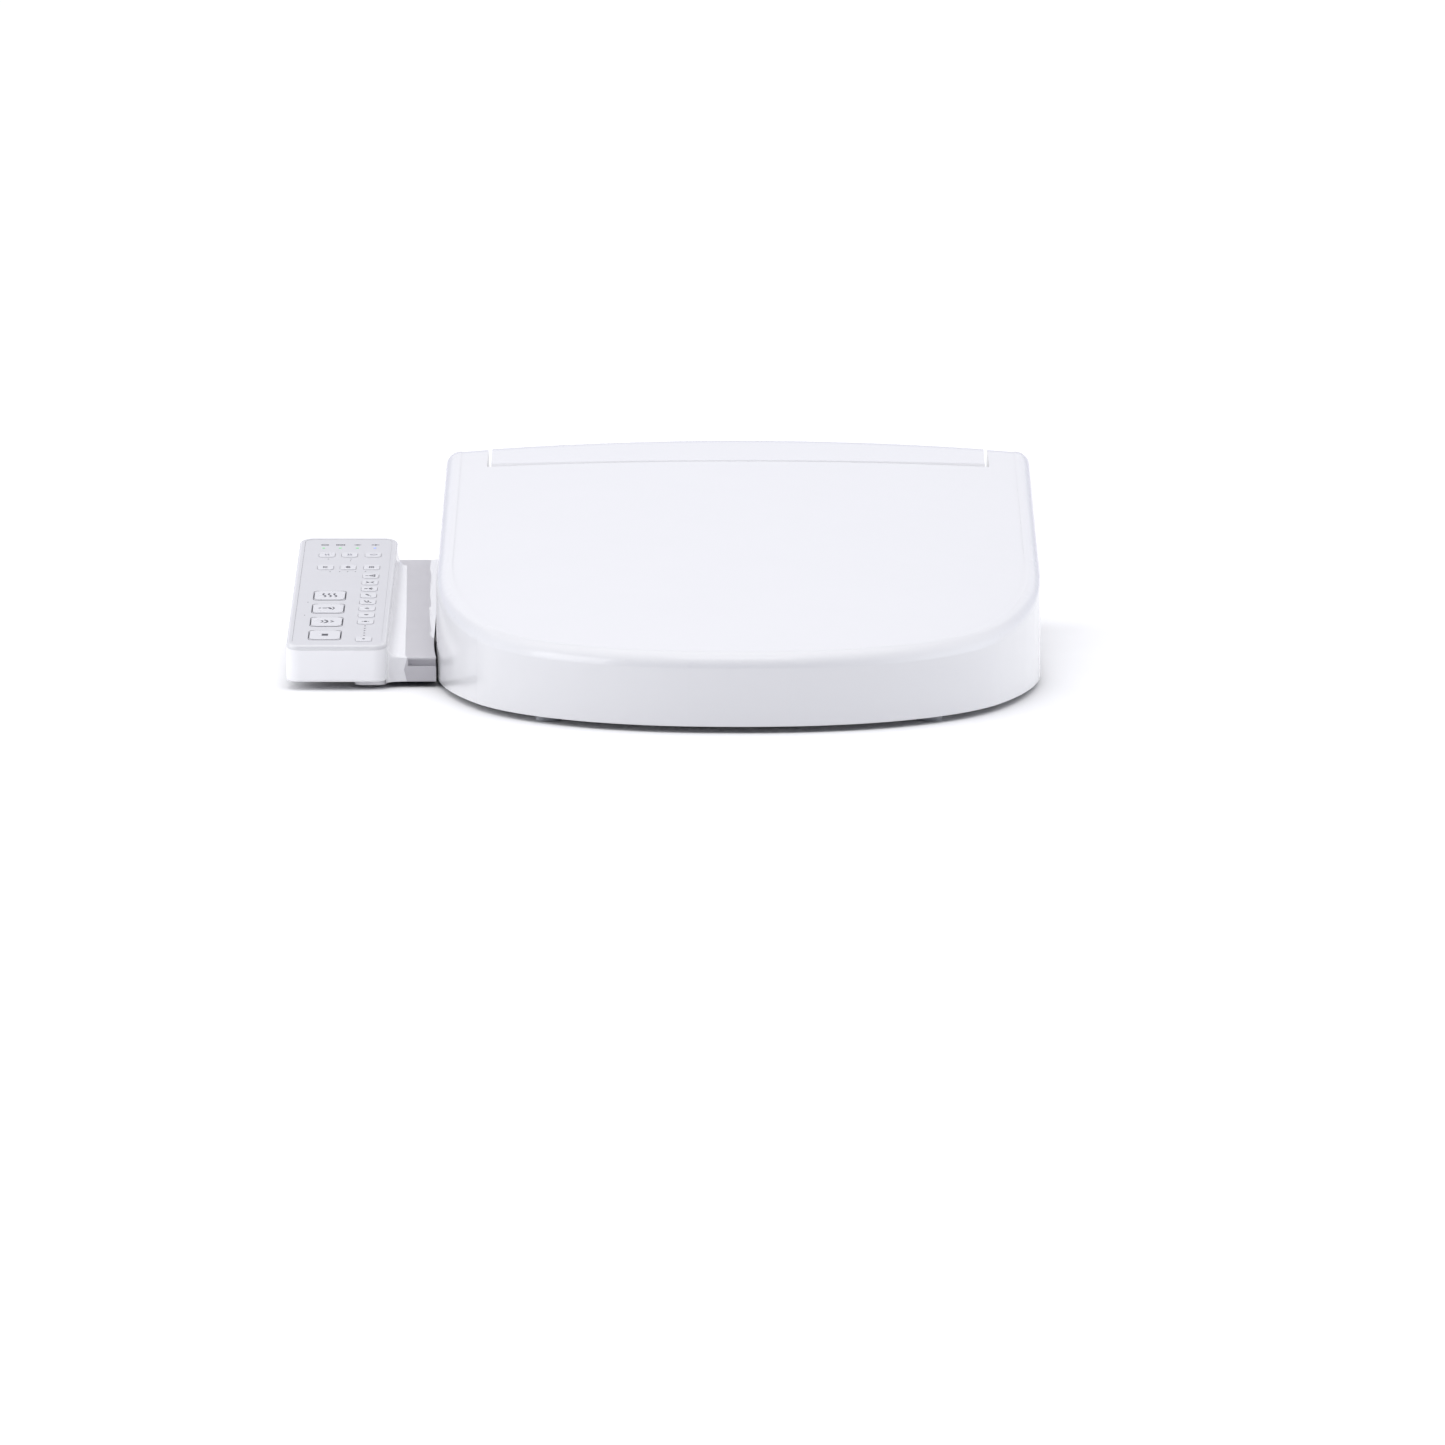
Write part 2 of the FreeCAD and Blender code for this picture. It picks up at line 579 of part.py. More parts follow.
def screw_holes():
    return [both_sides(rod_z(1.7, x, y, (0, UNIT_BOTTOM_Z + 3.5))) for x, y in SCREW_PLACES]


# ---- mount -----------------------------------------------------------------------------------------------
def bolt_slot(x, half_length, radius, z):
    """A slot across the plate for a bolt that can be set nearer or further back."""
    slot = box((x - radius, x + radius), (-half_length, half_length), z)
    return slot.fuse([rod_z(radius, x, end, z) for end in (-half_length, half_length)])


def mounting_plate():
    half_x, half_y = PLATE_HALF_X, PLATE_HALF_Y
    body = rounded_block((-half_x, half_x), (-half_y, half_y), (PAD_THICKNESS, PLATE_TOP_Z), 5)
    flange = box((-FLANGE_HALF_X, FLANGE_HALF_X), (-half_y + 4, half_y - 4), (FLANGE_Z, PLATE_TOP_Z))
    plate = body.fuse(flange)
    for side in (-1, 1):
        x = side * BOLT_SPACING / 2
        plate = plate.cut(bolt_slot(x, 22, BOLT_SLOT_RADIUS, (0, FAR)))
        plate = plate.cut(bolt_slot(x, 26, 9.0, (PLATE_TOP_Z - 2.2, FAR)))
    for x in (-30, 0, 30):
        plate = plate.cut(rounded_block((x - 9, x + 9), (-28, 28), (PLATE_TOP_Z - 2.5, FAR), 4))
    return plate


def mount_pad():
    """The thin rubber sheet between the plate and the rim."""
    half_x, half_y = PLATE_HALF_X - 2, PLATE_HALF_Y - 2
    pad = rounded_block((-half_x, half_x), (-half_y, half_y), (0, PAD_THICKNESS), 5)
    for side in (-1, 1):
        pad = pad.cut(bolt_slot(side * BOLT_SPACING / 2, 22, BOLT_SLOT_RADIUS, (-1, FAR)))
    return pad


def bolt_retainer(x):
    """The slider that fills the plate's slot and centres the bolt."""
    slider = bolt_slot(x, 12, 8.7, (PLATE_TOP_Z - 2.1, PLATE_TOP_Z + 1.4))
    neck = bolt_slot(x, 8, BOLT_SLOT_RADIUS - 0.2, (PAD_THICKNESS + 0.2, PLATE_TOP_Z - 2.0))
    return slider.fuse(neck).cut(rod_z(BOLT_NECK_RADIUS + 0.18, x, 0, (-5, FAR)))


def bolt(x):
    """A hexagon-headed bolt that hangs down through the bowl's fixing hole."""
    seat_z = PLATE_TOP_Z + 1.4
    turns = [math.pi / 3 * number for number in range(7)]
    corners = [Vector(x + 6.9 * math.cos(turn), 6.9 * math.sin(turn), seat_z) for turn in turns]
    head = Part.Face(Part.makePolygon(corners)).extrude(Vector(0, 0, 5.3))
    neck = rod_z(BOLT_NECK_RADIUS, x, 0, (-1.0, seat_z + 1))
    thread = rod_z(BOLT_RADIUS, x, 0, (-BOLT_DROP, -0.5))
    tip = Part.makeCone(BOLT_RADIUS - 1.2, BOLT_RADIUS, 1.2, Vector(x, 0, -BOLT_DROP - 1.2))
    return head.fuse([neck, thread, tip])


# ---- key panel -------------------------------------------------------------------------------------------
panel_turn = Rotation(X_AXIS, PANEL_SLOPE)


def panel_z(y):
    return PANEL_FRONT_Z + (y - PANEL_Y[0]) * math.tan(math.radians(PANEL_SLOPE))


def on_panel(shape, x, y, drop=0.0):
    """Puts a shape drawn about the origin on the panel's sloping face, or that far under it."""
    down = panel_turn.multVec(Vector(0, 0, -drop))
    shape.Placement = Placement(Vector(x, y, panel_z(y)) + down, panel_turn)
    return shape


def panel_layer(top, bottom):
    """A wide layer under the panel's face, between two depths."""
    layer = Part.makeBox(FAR, FAR, bottom - top, Vector(-FAR / 2, -FAR / 2, -bottom))
    return on_panel(layer, sum(PANEL_X) / 2, sum(PANEL_Y) / 2)


def panel_column(inset, z=(PANEL_BOTTOM_Z, 110.0)):
    x = (PANEL_X[0] + inset, PANEL_X[1] - inset)
    y = (PANEL_Y[0] + inset, PANEL_Y[1] - inset)
    return rounded_block(x, y, z, PANEL_CORNER - inset * 0.8)


def top_rim(solid):
    """The edges round the panel's face."""
    found = []
    for edge in solid.Edges:
        on_face = all(abs(vertex.Point.z - panel_z(vertex.Point.y)) < 0.01 for vertex in edge.Vertexes)
        if on_face and edge.BoundBox.XLength + edge.BoundBox.YLength > 0.1:
            found.append(edge)
    return found


def arm_top_z(y):
    share = (y - ARM_Y[0]) / (ARM_Y[1] - ARM_Y[0])
    return ARM_TOP_Z[0] + share * (ARM_TOP_Z[1] - ARM_TOP_Z[0])


def flute_wire(x, way, y, width, height):
    """The section of a hollow-faced fillet on the arm's top, from x outwards."""
    z = arm_top_z(y)
    foot, crest = Vector(x + way * width, y, z), Vector(x, y, z + height)
    root = x - way * 0.4
    curve = Part.BezierCurve()
    curve.setPoles([crest, Vector(x, y, z), foot])
    corners = [foot, foot - Z_AXIS * 0.4, Vector(root, y, z - 0.4), Vector(root, y, z + height), crest]
    lines = [Part.makeLine(a, b) for a, b in zip(corners, corners[1:])]
    return Part.Wire([curve.toShape()] + lines)


def flute(x, way, sections):
    """The hollow-faced fillet through sections, each a y and a (width, height)."""
    return Part.makeLoft([flute_wire(x, way, y, *size) for y, size in sections], True, True)


def flute_front():
    """The front of the panel's flute, turned down over the arm's edge and on to its bottom."""
    y = ARM_Y[0] + 0.5
    axis = Vector(0, y, arm_top_z(y) - 0.5)
    section = Part.Face(flute_wire(ARM_X[0], 1, y, *FLUTE_FRONT))
    bend = section.revolve(axis, X_AXIS, 90)
    section.rotate(axis, X_AXIS, 90)
    return bend.fuse(section.extrude(Vector(0, 0, ARM_BOTTOM_Z - axis.z)))


def panel_arm():
    """The arm between the panel and the unit, hollow below, with the flute down the panel's side."""
    def volume(inset, front):
        y0, y1 = ARM_Y[0] + front, ARM_Y[1] - inset
        top = [(y0, arm_top_z(y0) - inset), (y1, arm_top_z(y1) - inset)]
        points = [(y0, ARM_BOTTOM_Z)] + top + [(y1, ARM_BOTTOM_Z)]
        beside_lid = column(nose_outline(-ARM_LID_GAP - inset, FAR), (-FAR, FAR))
        return side_slab(points, (ARM_X[0] - 1, ARM_X[1] + 12)).cut(beside_lid)

    outer = volume(0, 0)
    front = [edge for edge in outer.Edges if edge.BoundBox.YMax < ARM_Y[0] + 0.01]
    outer = outer.makeFillet(0.5, [edge for edge in front if edge.BoundBox.ZMin > ARM_TOP_Z[0] - 0.1])
    hollow = volume(PANEL_WALL, 7.0).common(box((ARM_X[0] + PANEL_WALL, FAR), (-FAR, FAR), (-FAR, FAR)))
    groove = box((ARM_X[0] + FLUTE_FRONT[0] + 0.8, FAR), (-FAR, ARM_Y[0] + ARM_GROOVE_DEPTH), ARM_GROOVE_Z)
    root = box((ARM_X[1] - 3, -UNIT_HALF_WIDTH - 0.1), (-58, ARM_Y[1]), (UNIT_BOTTOM_Z + 1, 46))
    ends = (ARM_Y[0] + 0.5, PANEL_Y[1] - PANEL_CORNER)
    beside_panel = flute(ARM_X[0], 1, list(zip(ends, (FLUTE_FRONT, FLUTE_BACK))))
    ends = (LID_FRONT_Y + NOSE_LENGTH, ARM_Y[1] - 0.1)
    beside_lid = flute(ARM_X[1], -1, list(zip(ends, (RISE_FRONT, RISE_BACK))))
    beside_lid = beside_lid.common(box((-FAR, ARM_X[1]), (-FAR, FAR), (-FAR, FAR)))
    return outer.cut([hollow, groove]).fuse([root, beside_panel, flute_front(), beside_lid])


def panel_case():
    """The panel's tub with the arm, and a low foot under it."""
    tub = panel_column(0).common(panel_layer(BEZEL_DEPTH + BEZEL_SEAM, 120))
    bottom = [e for e in tub.Edges if e.BoundBox.ZMax < PANEL_BOTTOM_Z + 0.01]
    tub = tub.makeFillet(2.0, bottom)
    tub = tub.cut(panel_column(PANEL_WALL, (PANEL_BOTTOM_Z + PANEL_WALL, 110)))
    foot = rounded_block((-244.0, -224.0), (-262.0, -236.0), (2.2, PANEL_BOTTOM_Z + 1), 6)
    return tub.fuse([panel_arm(), foot]).removeSplitter()


def panel_bezel():
    """The glossy rim round the panel's face."""
    ring = panel_column(0).common(panel_layer(0, BEZEL_DEPTH))
    ring = ring.makeFillet(BEZEL_EDGE, top_rim(ring))
    window = panel_column(BEZEL_WIDTH).common(panel_layer(-5, FASCIA_DROP + FASCIA_THICKNESS + 0.2))
    return ring.cut([window, panel_column(BEZEL_WIDTH + 2)])


def rounded_tile(size, corner, top, bottom):
    """A rounded oblong about the origin, from top down to bottom."""
    width, length = size
    tile = Part.makeBox(width, length, top - bottom, Vector(-width / 2, -length / 2, bottom))
    return tile.makeFillet(corner, vertical_edges(tile))


def panel_keys():
    """Each key's name, place, size, corner and gap."""
    small = [(name, spot, SMALL_KEY, SMALL_CORNER, SMALL_GAP) for name, spot in SMALL_KEYS.items()]
    big = [(name, spot, BIG_KEY, BIG_CORNER, BIG_GAP) for name, spot in BIG_KEYS.items()]
    return small + big


def key(spot, size, corner):
    """A key cap with a softened top, hollow below, with a stem that presses its contact."""
    base = -FASCIA_DROP
    cap = rounded_tile(size, corner, base + KEY_PROUD, base - KEY_DEPTH)
    cap = cap.makeFillet(KEY_EDGE, [e for e in cap.Edges if e.BoundBox.ZMin > base + KEY_PROUD - 0.01])
    inside = (size[0] - 2.4, size[1] - 2.4)
    cap = cap.cut(rounded_tile(inside, corner - 1.0, base - 1.2, base - KEY_DEPTH - 1))
    stem = Part.makeCylinder(1.6, KEY_DEPTH - 0.8, Vector(0, 0, base - KEY_DEPTH))
    return on_panel(cap.fuse(stem), *spot)


def panel_fascia():
    """The matt sheet that the keys come up through."""
    layer = panel_layer(FASCIA_DROP, FASCIA_DROP + FASCIA_THICKNESS)
    sheet = panel_column(BEZEL_WIDTH + FASCIA_GAP).common(layer)
    holes = []
    for _, spot, size, corner, gap in panel_keys():
        opening = (size[0] + 2 * gap, size[1] + 2 * gap)
        holes.append(on_panel(rounded_tile(opening, corner + gap, 5, -8), *spot))
    for x in STATUS_X:
        holes.append(on_panel(Part.makeCylinder(1.0, 12, Vector(0, 0, -6)), x, STATUS_Y))
    for y in LEVEL_Y:
        holes.append(on_panel(Part.makeCylinder(0.65, 12, Vector(0, 0, -6)), LEVEL_X, y))
    return sheet.cut(holes)


def indicator(radius, x, y):
    return on_panel(Part.makeCylinder(radius, 4.5, Vector(0, 0, -FASCIA_DROP - 4.4)), x, y)


def keypad_sheet():
    """The rubber sheet under the keys, with a dome for each."""
    sheet = panel_column(BEZEL_WIDTH + 2.4).common(panel_layer(7.0, 8.0))
    domes = [
        on_panel(Part.makeCone(2.4, 1.8, 1.4, Vector(0, 0, -7.1)), *spot)
        for _, spot, *_ in panel_keys()
    ]
    return sheet.fuse(domes)


def keypad_board():
    board = panel_column(BEZEL_WIDTH + 2.4).common(panel_layer(8.1, 9.7))
    chip = on_panel(Part.makeBox(9, 9, 1.6, Vector(-4.5, -4.5, -11.2)), -262, -90)
    plug = on_panel(Part.makeBox(12, 6, 5.0, Vector(-6, -3, -14.6)), -238, -60)
    return board.fuse([chip, plug])


# ---- inside the unit -------------------------------------------------------------------------------------
def tooth(width_low, width_pitch, width_high, below, above):
    """A tapered tooth in the Y-Z plane, its pitch line on Y = 0 pointing up Z."""
    points = [
        (-width_low / 2, -below),
        (-width_pitch / 2, 0),
        (-width_high / 2, above),
        (width_high / 2, above),
        (width_pitch / 2, 0),
        (width_low / 2, -below),
    ]
    return side_slab(points, (-2.5, 2.5))


def nozzle_wand():
    """The tube that slides out, with a rack cut along its top, which the gear drives."""
    wand = Part.makeCylinder(NOZZLE_RADIUS, NOZZLE_LENGTH - TIP_LENGTH, Vector(0, TIP_LENGTH, 0), Y_AXIS)
    pitch = 2 * math.pi * GEAR_PITCH_RADIUS / GEAR_TEETH
    root = RACK_PITCH_HEIGHT - TOOTH_DEDENDUM
    first = GEAR_ALONG - pitch * 3
    bed_end = NOZZLE_LENGTH
    bed = Part.makeBox(5.4, bed_end - first, 10, Vector(-2.7, first, root))
    wand = wand.cut(bed)
    count = int((bed_end - first) / pitch)
    teeth = []
    for number in range(count):
        one = tooth(1.7, 1.25, 0.9, TOOTH_DEDENDUM + 0.2, TOOTH_ADDENDUM)
        one.translate(Vector(0, first + pitch * (number + 0.5), RACK_PITCH_HEIGHT))
        teeth.append(one)
    wand = wand.fuse(teeth)
    bore = Part.makeCylinder(2.6, NOZZLE_LENGTH, Vector(0, TIP_LENGTH - 1, 0), Y_AXIS)
    return nozzle_place(wand.cut(bore))


def nozzle_tip():
    """The spray head at the wand's front, with three jets in its top."""
    tip = Part.makeCylinder(NOZZLE_RADIUS, TIP_LENGTH, Vector(0, 0, 0), Y_AXIS)
    tip = tip.makeFillet(2.2, [e for e in tip.Edges if e.BoundBox.YMax < 0.01])
    tip = tip.cut(Part.makeBox(20, 13, 5, Vector(-10, 3, NOZZLE_RADIUS - 0.9)))
    jets = [Part.makeCylinder(0.8, 12, Vector(x, 9.5 + lag, 0)) for x, lag in ((-2.4, 0), (0, 2.6), (2.4, 0))]
    return nozzle_place(tip.cut(jets))


def drive_gear():
    """The small gear over the rack, on the motor's shaft."""
    gear = Part.makeCylinder(GEAR_PITCH_RADIUS - TOOTH_DEDENDUM, 4.4, Vector(-2.2, 0, 0), X_AXIS)
    teeth = []
    for number in range(GEAR_TEETH):
        one = tooth(1.6, 1.2, 0.8, TOOTH_DEDENDUM + 0.5, TOOTH_ADDENDUM)
        one.translate(Vector(0, 0, GEAR_PITCH_RADIUS))
        one.rotate(Vector(0, 0, 0), X_AXIS, 360.0 / GEAR_TEETH * number)
        teeth.append(one.common(Part.makeBox(4.4, 40, 40, Vector(-2.2, -20, -20))))
    gear = gear.fuse(teeth).cut(Part.makeCylinder(1.6, 10, Vector(-5, 0, 0), X_AXIS))
    gear.translate(Vector(0, GEAR_ALONG, RACK_PITCH_HEIGHT + GEAR_PITCH_RADIUS))
    return nozzle_place(gear)


def nozzle_guide():
    """Two rails beside the wand and the collar at the case's front."""
    rail = Part.makeBox(3, 98, 9, Vector(NOZZLE_RADIUS + 0.8, 8, -3))
    rails = rail.fuse(rail.mirror(Vector(0, 0, 0), X_AXIS))
    collar = Part.makeCylinder(NOZZLE_RADIUS + 3.8, 8, Vector(0, 5, 0), Y_AXIS)
    stop = Part.makeBox(2 * NOZZLE_RADIUS + 7.6, 3, 9, Vector(-NOZZLE_RADIUS - 3.8, NOZZLE_LENGTH + 1, -3))
    links = [Part.makeBox(3, 6, 9, Vector(x, 104, -3)) for x in (NOZZLE_RADIUS + 0.8, -NOZZLE_RADIUS - 3.8)]
    guide = rails.fuse([collar, stop] + links)
    bore = Part.makeCylinder(NOZZLE_RADIUS + 0.5, NOZZLE_LENGTH, Vector(0, 0, 0), Y_AXIS)
    return nozzle_place(guide.cut(bore))


def nozzle_motor():
    """The stepping motor beside the gear, with its shaft through it."""
    body = Part.makeCylinder(11, 16, Vector(12, 0, 0), X_AXIS)
    boss = Part.makeCylinder(4, 3, Vector(9.4, 0, 0), X_AXIS)
    shaft = Part.makeCylinder(1.5, 14, Vector(-2.6, 0, 0), X_AXIS)
    motor = body.fuse([boss, shaft])
    motor.translate(Vector(0, GEAR_ALONG, RACK_PITCH_HEIGHT + GEAR_PITCH_RADIUS))
    return nozzle_place(motor)


def dryer_housing():
    """The fan's drum, open at its outer end, with an outlet down into the duct."""
    drum = tube_x(FAN_RADIUS, FAN_RADIUS - 2, FAN_X, FAN_Y, FAN_Z)
    wall = rod_x(FAN_RADIUS, (FAN_X[1] - 2, FAN_X[1]), FAN_Y, FAN_Z)
    intake = tube_x(FAN_RADIUS, 14, (FAN_X[0], FAN_X[0] + 2), FAN_Y, FAN_Z)
    drum = drum.fuse([wall, intake])
    mouth = box((FAN_X[0] + 4, FAN_X[1] - 4), (-71, -59), (27.3, 44))
    throat = box((FAN_X[0] + 6, FAN_X[1] - 6), (-69, -61), (20, 60))
    drum = drum.fuse(mouth.cut(rod_x(FAN_RADIUS - 1, FAN_X, FAN_Y, FAN_Z)))
    return drum.cut([throat, rod_x(2.2, (FAN_X[1] - 5, FAN_X[1] + 5), FAN_Y, FAN_Z)])


def fan_wheel():
    """The blower wheel: a hub, a back plate and a ring of blades."""
    x = (FAN_X[0] + 4, FAN_X[1] - 4)
    hub = rod_x(6, x, FAN_Y, FAN_Z)
    plate = rod_x(21, (x[1] - 1.5, x[1]), FAN_Y, FAN_Z)
    ring = tube_x(21, 19.5, (x[0], x[0] + 1.5), FAN_Y, FAN_Z)
    blades = []
    for number in range(24):
        blade = box(x, (FAN_Y - 0.5, FAN_Y + 0.5), (FAN_Z + 15.5, FAN_Z + 20.6))
        blade.rotate(Vector(0, FAN_Y, FAN_Z + 18), X_AXIS, 30)
        blade.rotate(Vector(0, FAN_Y, FAN_Z), X_AXIS, 15.0 * number)
        blades.append(blade)
    wheel = hub.fuse([plate, ring] + blades)
    return wheel.cut(rod_x(1.68, (x[0] + 3, x[1] + 1), FAN_Y, FAN_Z))


def dryer_motor():
    body = rod_x(13, (FAN_X[1] + 0.3, FAN_X[1] + 24), FAN_Y, FAN_Z)
    shaft = rod_x(1.6, (FAN_X[0] + 8, FAN_X[1] + 1), FAN_Y, FAN_Z)
    return body.fuse(shaft)


def dryer_duct():
    """The flat duct behind the front wall, from the fan to the outlet."""
    outer = box((FAN_X[0] + 2, OUTLET_X[1] + 3), (UNIT_FRONT_Y + 3.2, -57.5), (UNIT_BOTTOM_Z + 3.2, 27.0))
    inner = box((FAN_X[0] + 4, OUTLET_X[1] + 1), (UNIT_FRONT_Y + 5.2, -59.5), (UNIT_BOTTOM_Z + 5.2, 25.0))
    mouth = box(OUTLET_X, (UNIT_FRONT_Y + 2, UNIT_FRONT_Y + 8), (UNIT_BOTTOM_Z + 5.2, 25.0))
    feed = box((FAN_X[0] + 6, FAN_X[1] - 6), (-69, -61), (20, 30))
    return outer.cut([inner, mouth, feed])


def dryer_flap():
    """The hinged flap over the dryer's outlet."""
    x = (OUTLET_X[0] + 0.5, OUTLET_X[1] - 0.5)
    leaf = box(x, (UNIT_FRONT_Y + 0.4, UNIT_FRONT_Y + 2.0), (OUTLET_Z[0] + 0.5, OUTLET_Z[1] - 1.6))
    rod = rod_x(1.1, x, UNIT_FRONT_Y + 1.3, OUTLET_Z[1] - 1.6)
    return leaf.fuse(rod)


def water_tank():
    tank = box((28, 100), (-54, 30), (CHANNEL_TOP_Z + 6, 84))
    tank = tank.makeFillet(7, tank.Edges)
    cap = rod_z(9, 64, -12, (83, 88))
    stub = rod_x(5, (20, 29), 8, 66)
    return tank.fuse([cap, stub])


def inlet_valve():
    body = box((-156, -106), (16, 50), (UNIT_BOTTOM_Z + 3.5, 40))
    body = body.makeFillet(3, vertical_edges(body))
    coil = rod_z(10, -122, 33, (39, 62))
    outlet = rod_z(5, -146, 33, (39, 50))
    return body.fuse([coil, outlet])


def water_inlet():
    """The threaded spigot for the water hose, with a hexagon against the case."""
    x = -UNIT_HALF_WIDTH
    spigot = rod_x(INLET_RADIUS, (x - 15, x - 3.2), INLET_Y, INLET_Z)
    collar = rod_x(11.6, (x - 3.4, x - 0.2), INLET_Y, INLET_Z)
    neck = rod_x(8.8, (x - 1, -156), INLET_Y, INLET_Z)
    return spigot.fuse([collar, neck]).cut(rod_x(6, (x - 20, x + 60), INLET_Y, INLET_Z))


def hose(points, radius, bend):
    """A hose along straight runs joined by quarter bends."""
    points = [Vector(*p) for p in points]
    edges = []
    here = points[0]
    for corner, after in zip(points[1:], points[2:]):
        into, out = (corner - here).normalize(), (after - corner).normalize()
        start, end = corner - into * bend, corner + out * bend
        centre = start + out * bend
        middle = centre + (corner - centre).normalize() * bend
        edges.append(Part.makeLine(here, start))
        edges.append(Part.Arc(start, middle, end).toShape())
        here = end
    edges.append(Part.makeLine(here, points[-1]))
    first = (points[1] - points[0]).normalize()
    ring = Part.Wire(Part.makeCircle(radius, points[0], first))
    return Part.Wire(edges).makePipeShell([ring], True, False)


def water_hose():
    """The hose from the valve to the tank."""
    return hose([(-146, 33, 50.2), (-146, 33, 66), (8, 33, 66), (8, 8, 66), (19.8, 8, 66)], 3.6, 6.0)


def main_board():
    board = box((108, 156), (-58, 38), (24, 25.6))
    chips = [box((114, 124), (-40, -30), (25.4, 28)), box((132, 150), (-20, 4), (25.4, 42))]
    cans = [rod_z(6, 118, y, (25.4, 44)) for y in (-8, 10, 28)]
    legs = [box((x, x + 4), (y, y + 4), (UNIT_BOTTOM_Z + 3.2, 24.2)) for x in (110, 150) for y in (-54, 30)]
    return board.fuse(chips + cans + legs)


def hinge_damper():
    """The soft-close damper behind a hinge pin."""
    foot = box((120, 141), (HINGE_Y - 5, HINGE_Y + 5), (HINGE_Z - 17, HINGE_Z))
    return rod_x(11, (112, 149), HINGE_Y, HINGE_Z).fuse(foot)


def hinge_pin():
    return rod_x(PIN_RADIUS, (149.2, LID_HALF_WIDTH - 5), HINGE_Y, HINGE_Z)


def cord_gland():
    """The bush in the back wall where the mains lead goes in."""
    bush = Part.makeCylinder(6.0, 9, Vector(GLAND_X, UNIT_BACK_Y - 5, GLAND_Z), Y_AXIS)
    flange = Part.makeCylinder(8.5, 2, Vector(GLAND_X, UNIT_BACK_Y + 0.1, GLAND_Z), Y_AXIS)
    bore = Part.makeCylinder(3.4, 30, Vector(GLAND_X, UNIT_BACK_Y - 10, GLAND_Z), Y_AXIS)
    return bush.fuse(flange).cut(bore)


def release_button():
    """The button at the unit's right end that frees it from the plate."""
    x = UNIT_HALF_WIDTH
    cap = rod_x(BUTTON_RADIUS, (x - 6, x + 5), BUTTON_Y, BUTTON_Z)
    cap = cap.makeFillet(1.2, [e for e in cap.Edges if e.BoundBox.XMin > x + 4.9])
    return cap.fuse(rod_x(2.5, (x - 20, x - 5), BUTTON_Y, BUTTON_Z))


# ---- nodes -----------------------------------------------------------------------------------------------
def build():
    """Every node's name and shape."""
    lower, upper = unit_cases()
    seat_upper, seat_lower = seat_shells()
    spacing = BOLT_SPACING / 2
    nodes = {
        "mounting_plate": mounting_plate(),
        "mount_pad": mount_pad(),
        "mounting_bolts": compound([bolt(-spacing), bolt(spacing)]),
        "bolt_retainers": compound([bolt_retainer(-spacing), bolt_retainer(spacing)]),
        "unit_lower_case": lower.cut(screw_holes()),
        "unit_upper_case": upper,
        "unit_feet": unit_feet(),
        "case_screws": case_screws(),
        "panel_case": panel_case(),
        "panel_bezel": panel_bezel(),
        "panel_fascia": panel_fascia(),
        "keypad_sheet": keypad_sheet(),
        "keypad_board": keypad_board(),
        "status_lights": compound([indicator(0.9, x, STATUS_Y) for x in STATUS_X]),
        "level_lights": compound([indicator(0.55, LEVEL_X, y) for y in LEVEL_Y]),
        "main_board": main_board(),
        "water_tank": water_tank(),
        "inlet_valve": inlet_valve(),
        "water_inlet": water_inlet(),
        "water_hose": water_hose(),
        "nozzle_guide": nozzle_guide(),
        "nozzle_motor": nozzle_motor(),
        "nozzle_wand": nozzle_wand(),
        "nozzle_tip": nozzle_tip(),
        "drive_gear": drive_gear(),
        "dryer_housing": dryer_housing(),
        "dryer_motor": dryer_motor(),
        "dryer_duct": dryer_duct(),
        "dryer_flap": dryer_flap(),
        "fan_wheel": fan_wheel(),
        "hinge_dampers": both_sides(hinge_damper()),
        "hinge_pins": both_sides(hinge_pin()),
        "cord_gland": cord_gland(),
        "release_button": release_button(),
        "seat_upper_shell": seat_upper,
        "seat_lower_shell": seat_lower,
        "seat_heater": seat_heater(),
        "seat_bumpers": seat_bumpers(),
        "lid_shell": lid_shell(),
        "lid_bumpers": lid_bumpers(),
    }
    for name, spot, size, corner, _ in panel_keys():
        nodes[name] = key(spot, size, corner)
    return nodes


os.makedirs("parts", exist_ok=True)
for name, shape in build().items():
    shape.exportStep(f"parts/{name}.step")
    print(f"{name:20s} valid={shape.isValid()} solids={len(shape.Solids)} {shape.Volume / 1000:.2f} cm3")
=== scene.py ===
"""Electric bidet seat: camera, studio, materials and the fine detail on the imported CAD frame."""

import json
import math

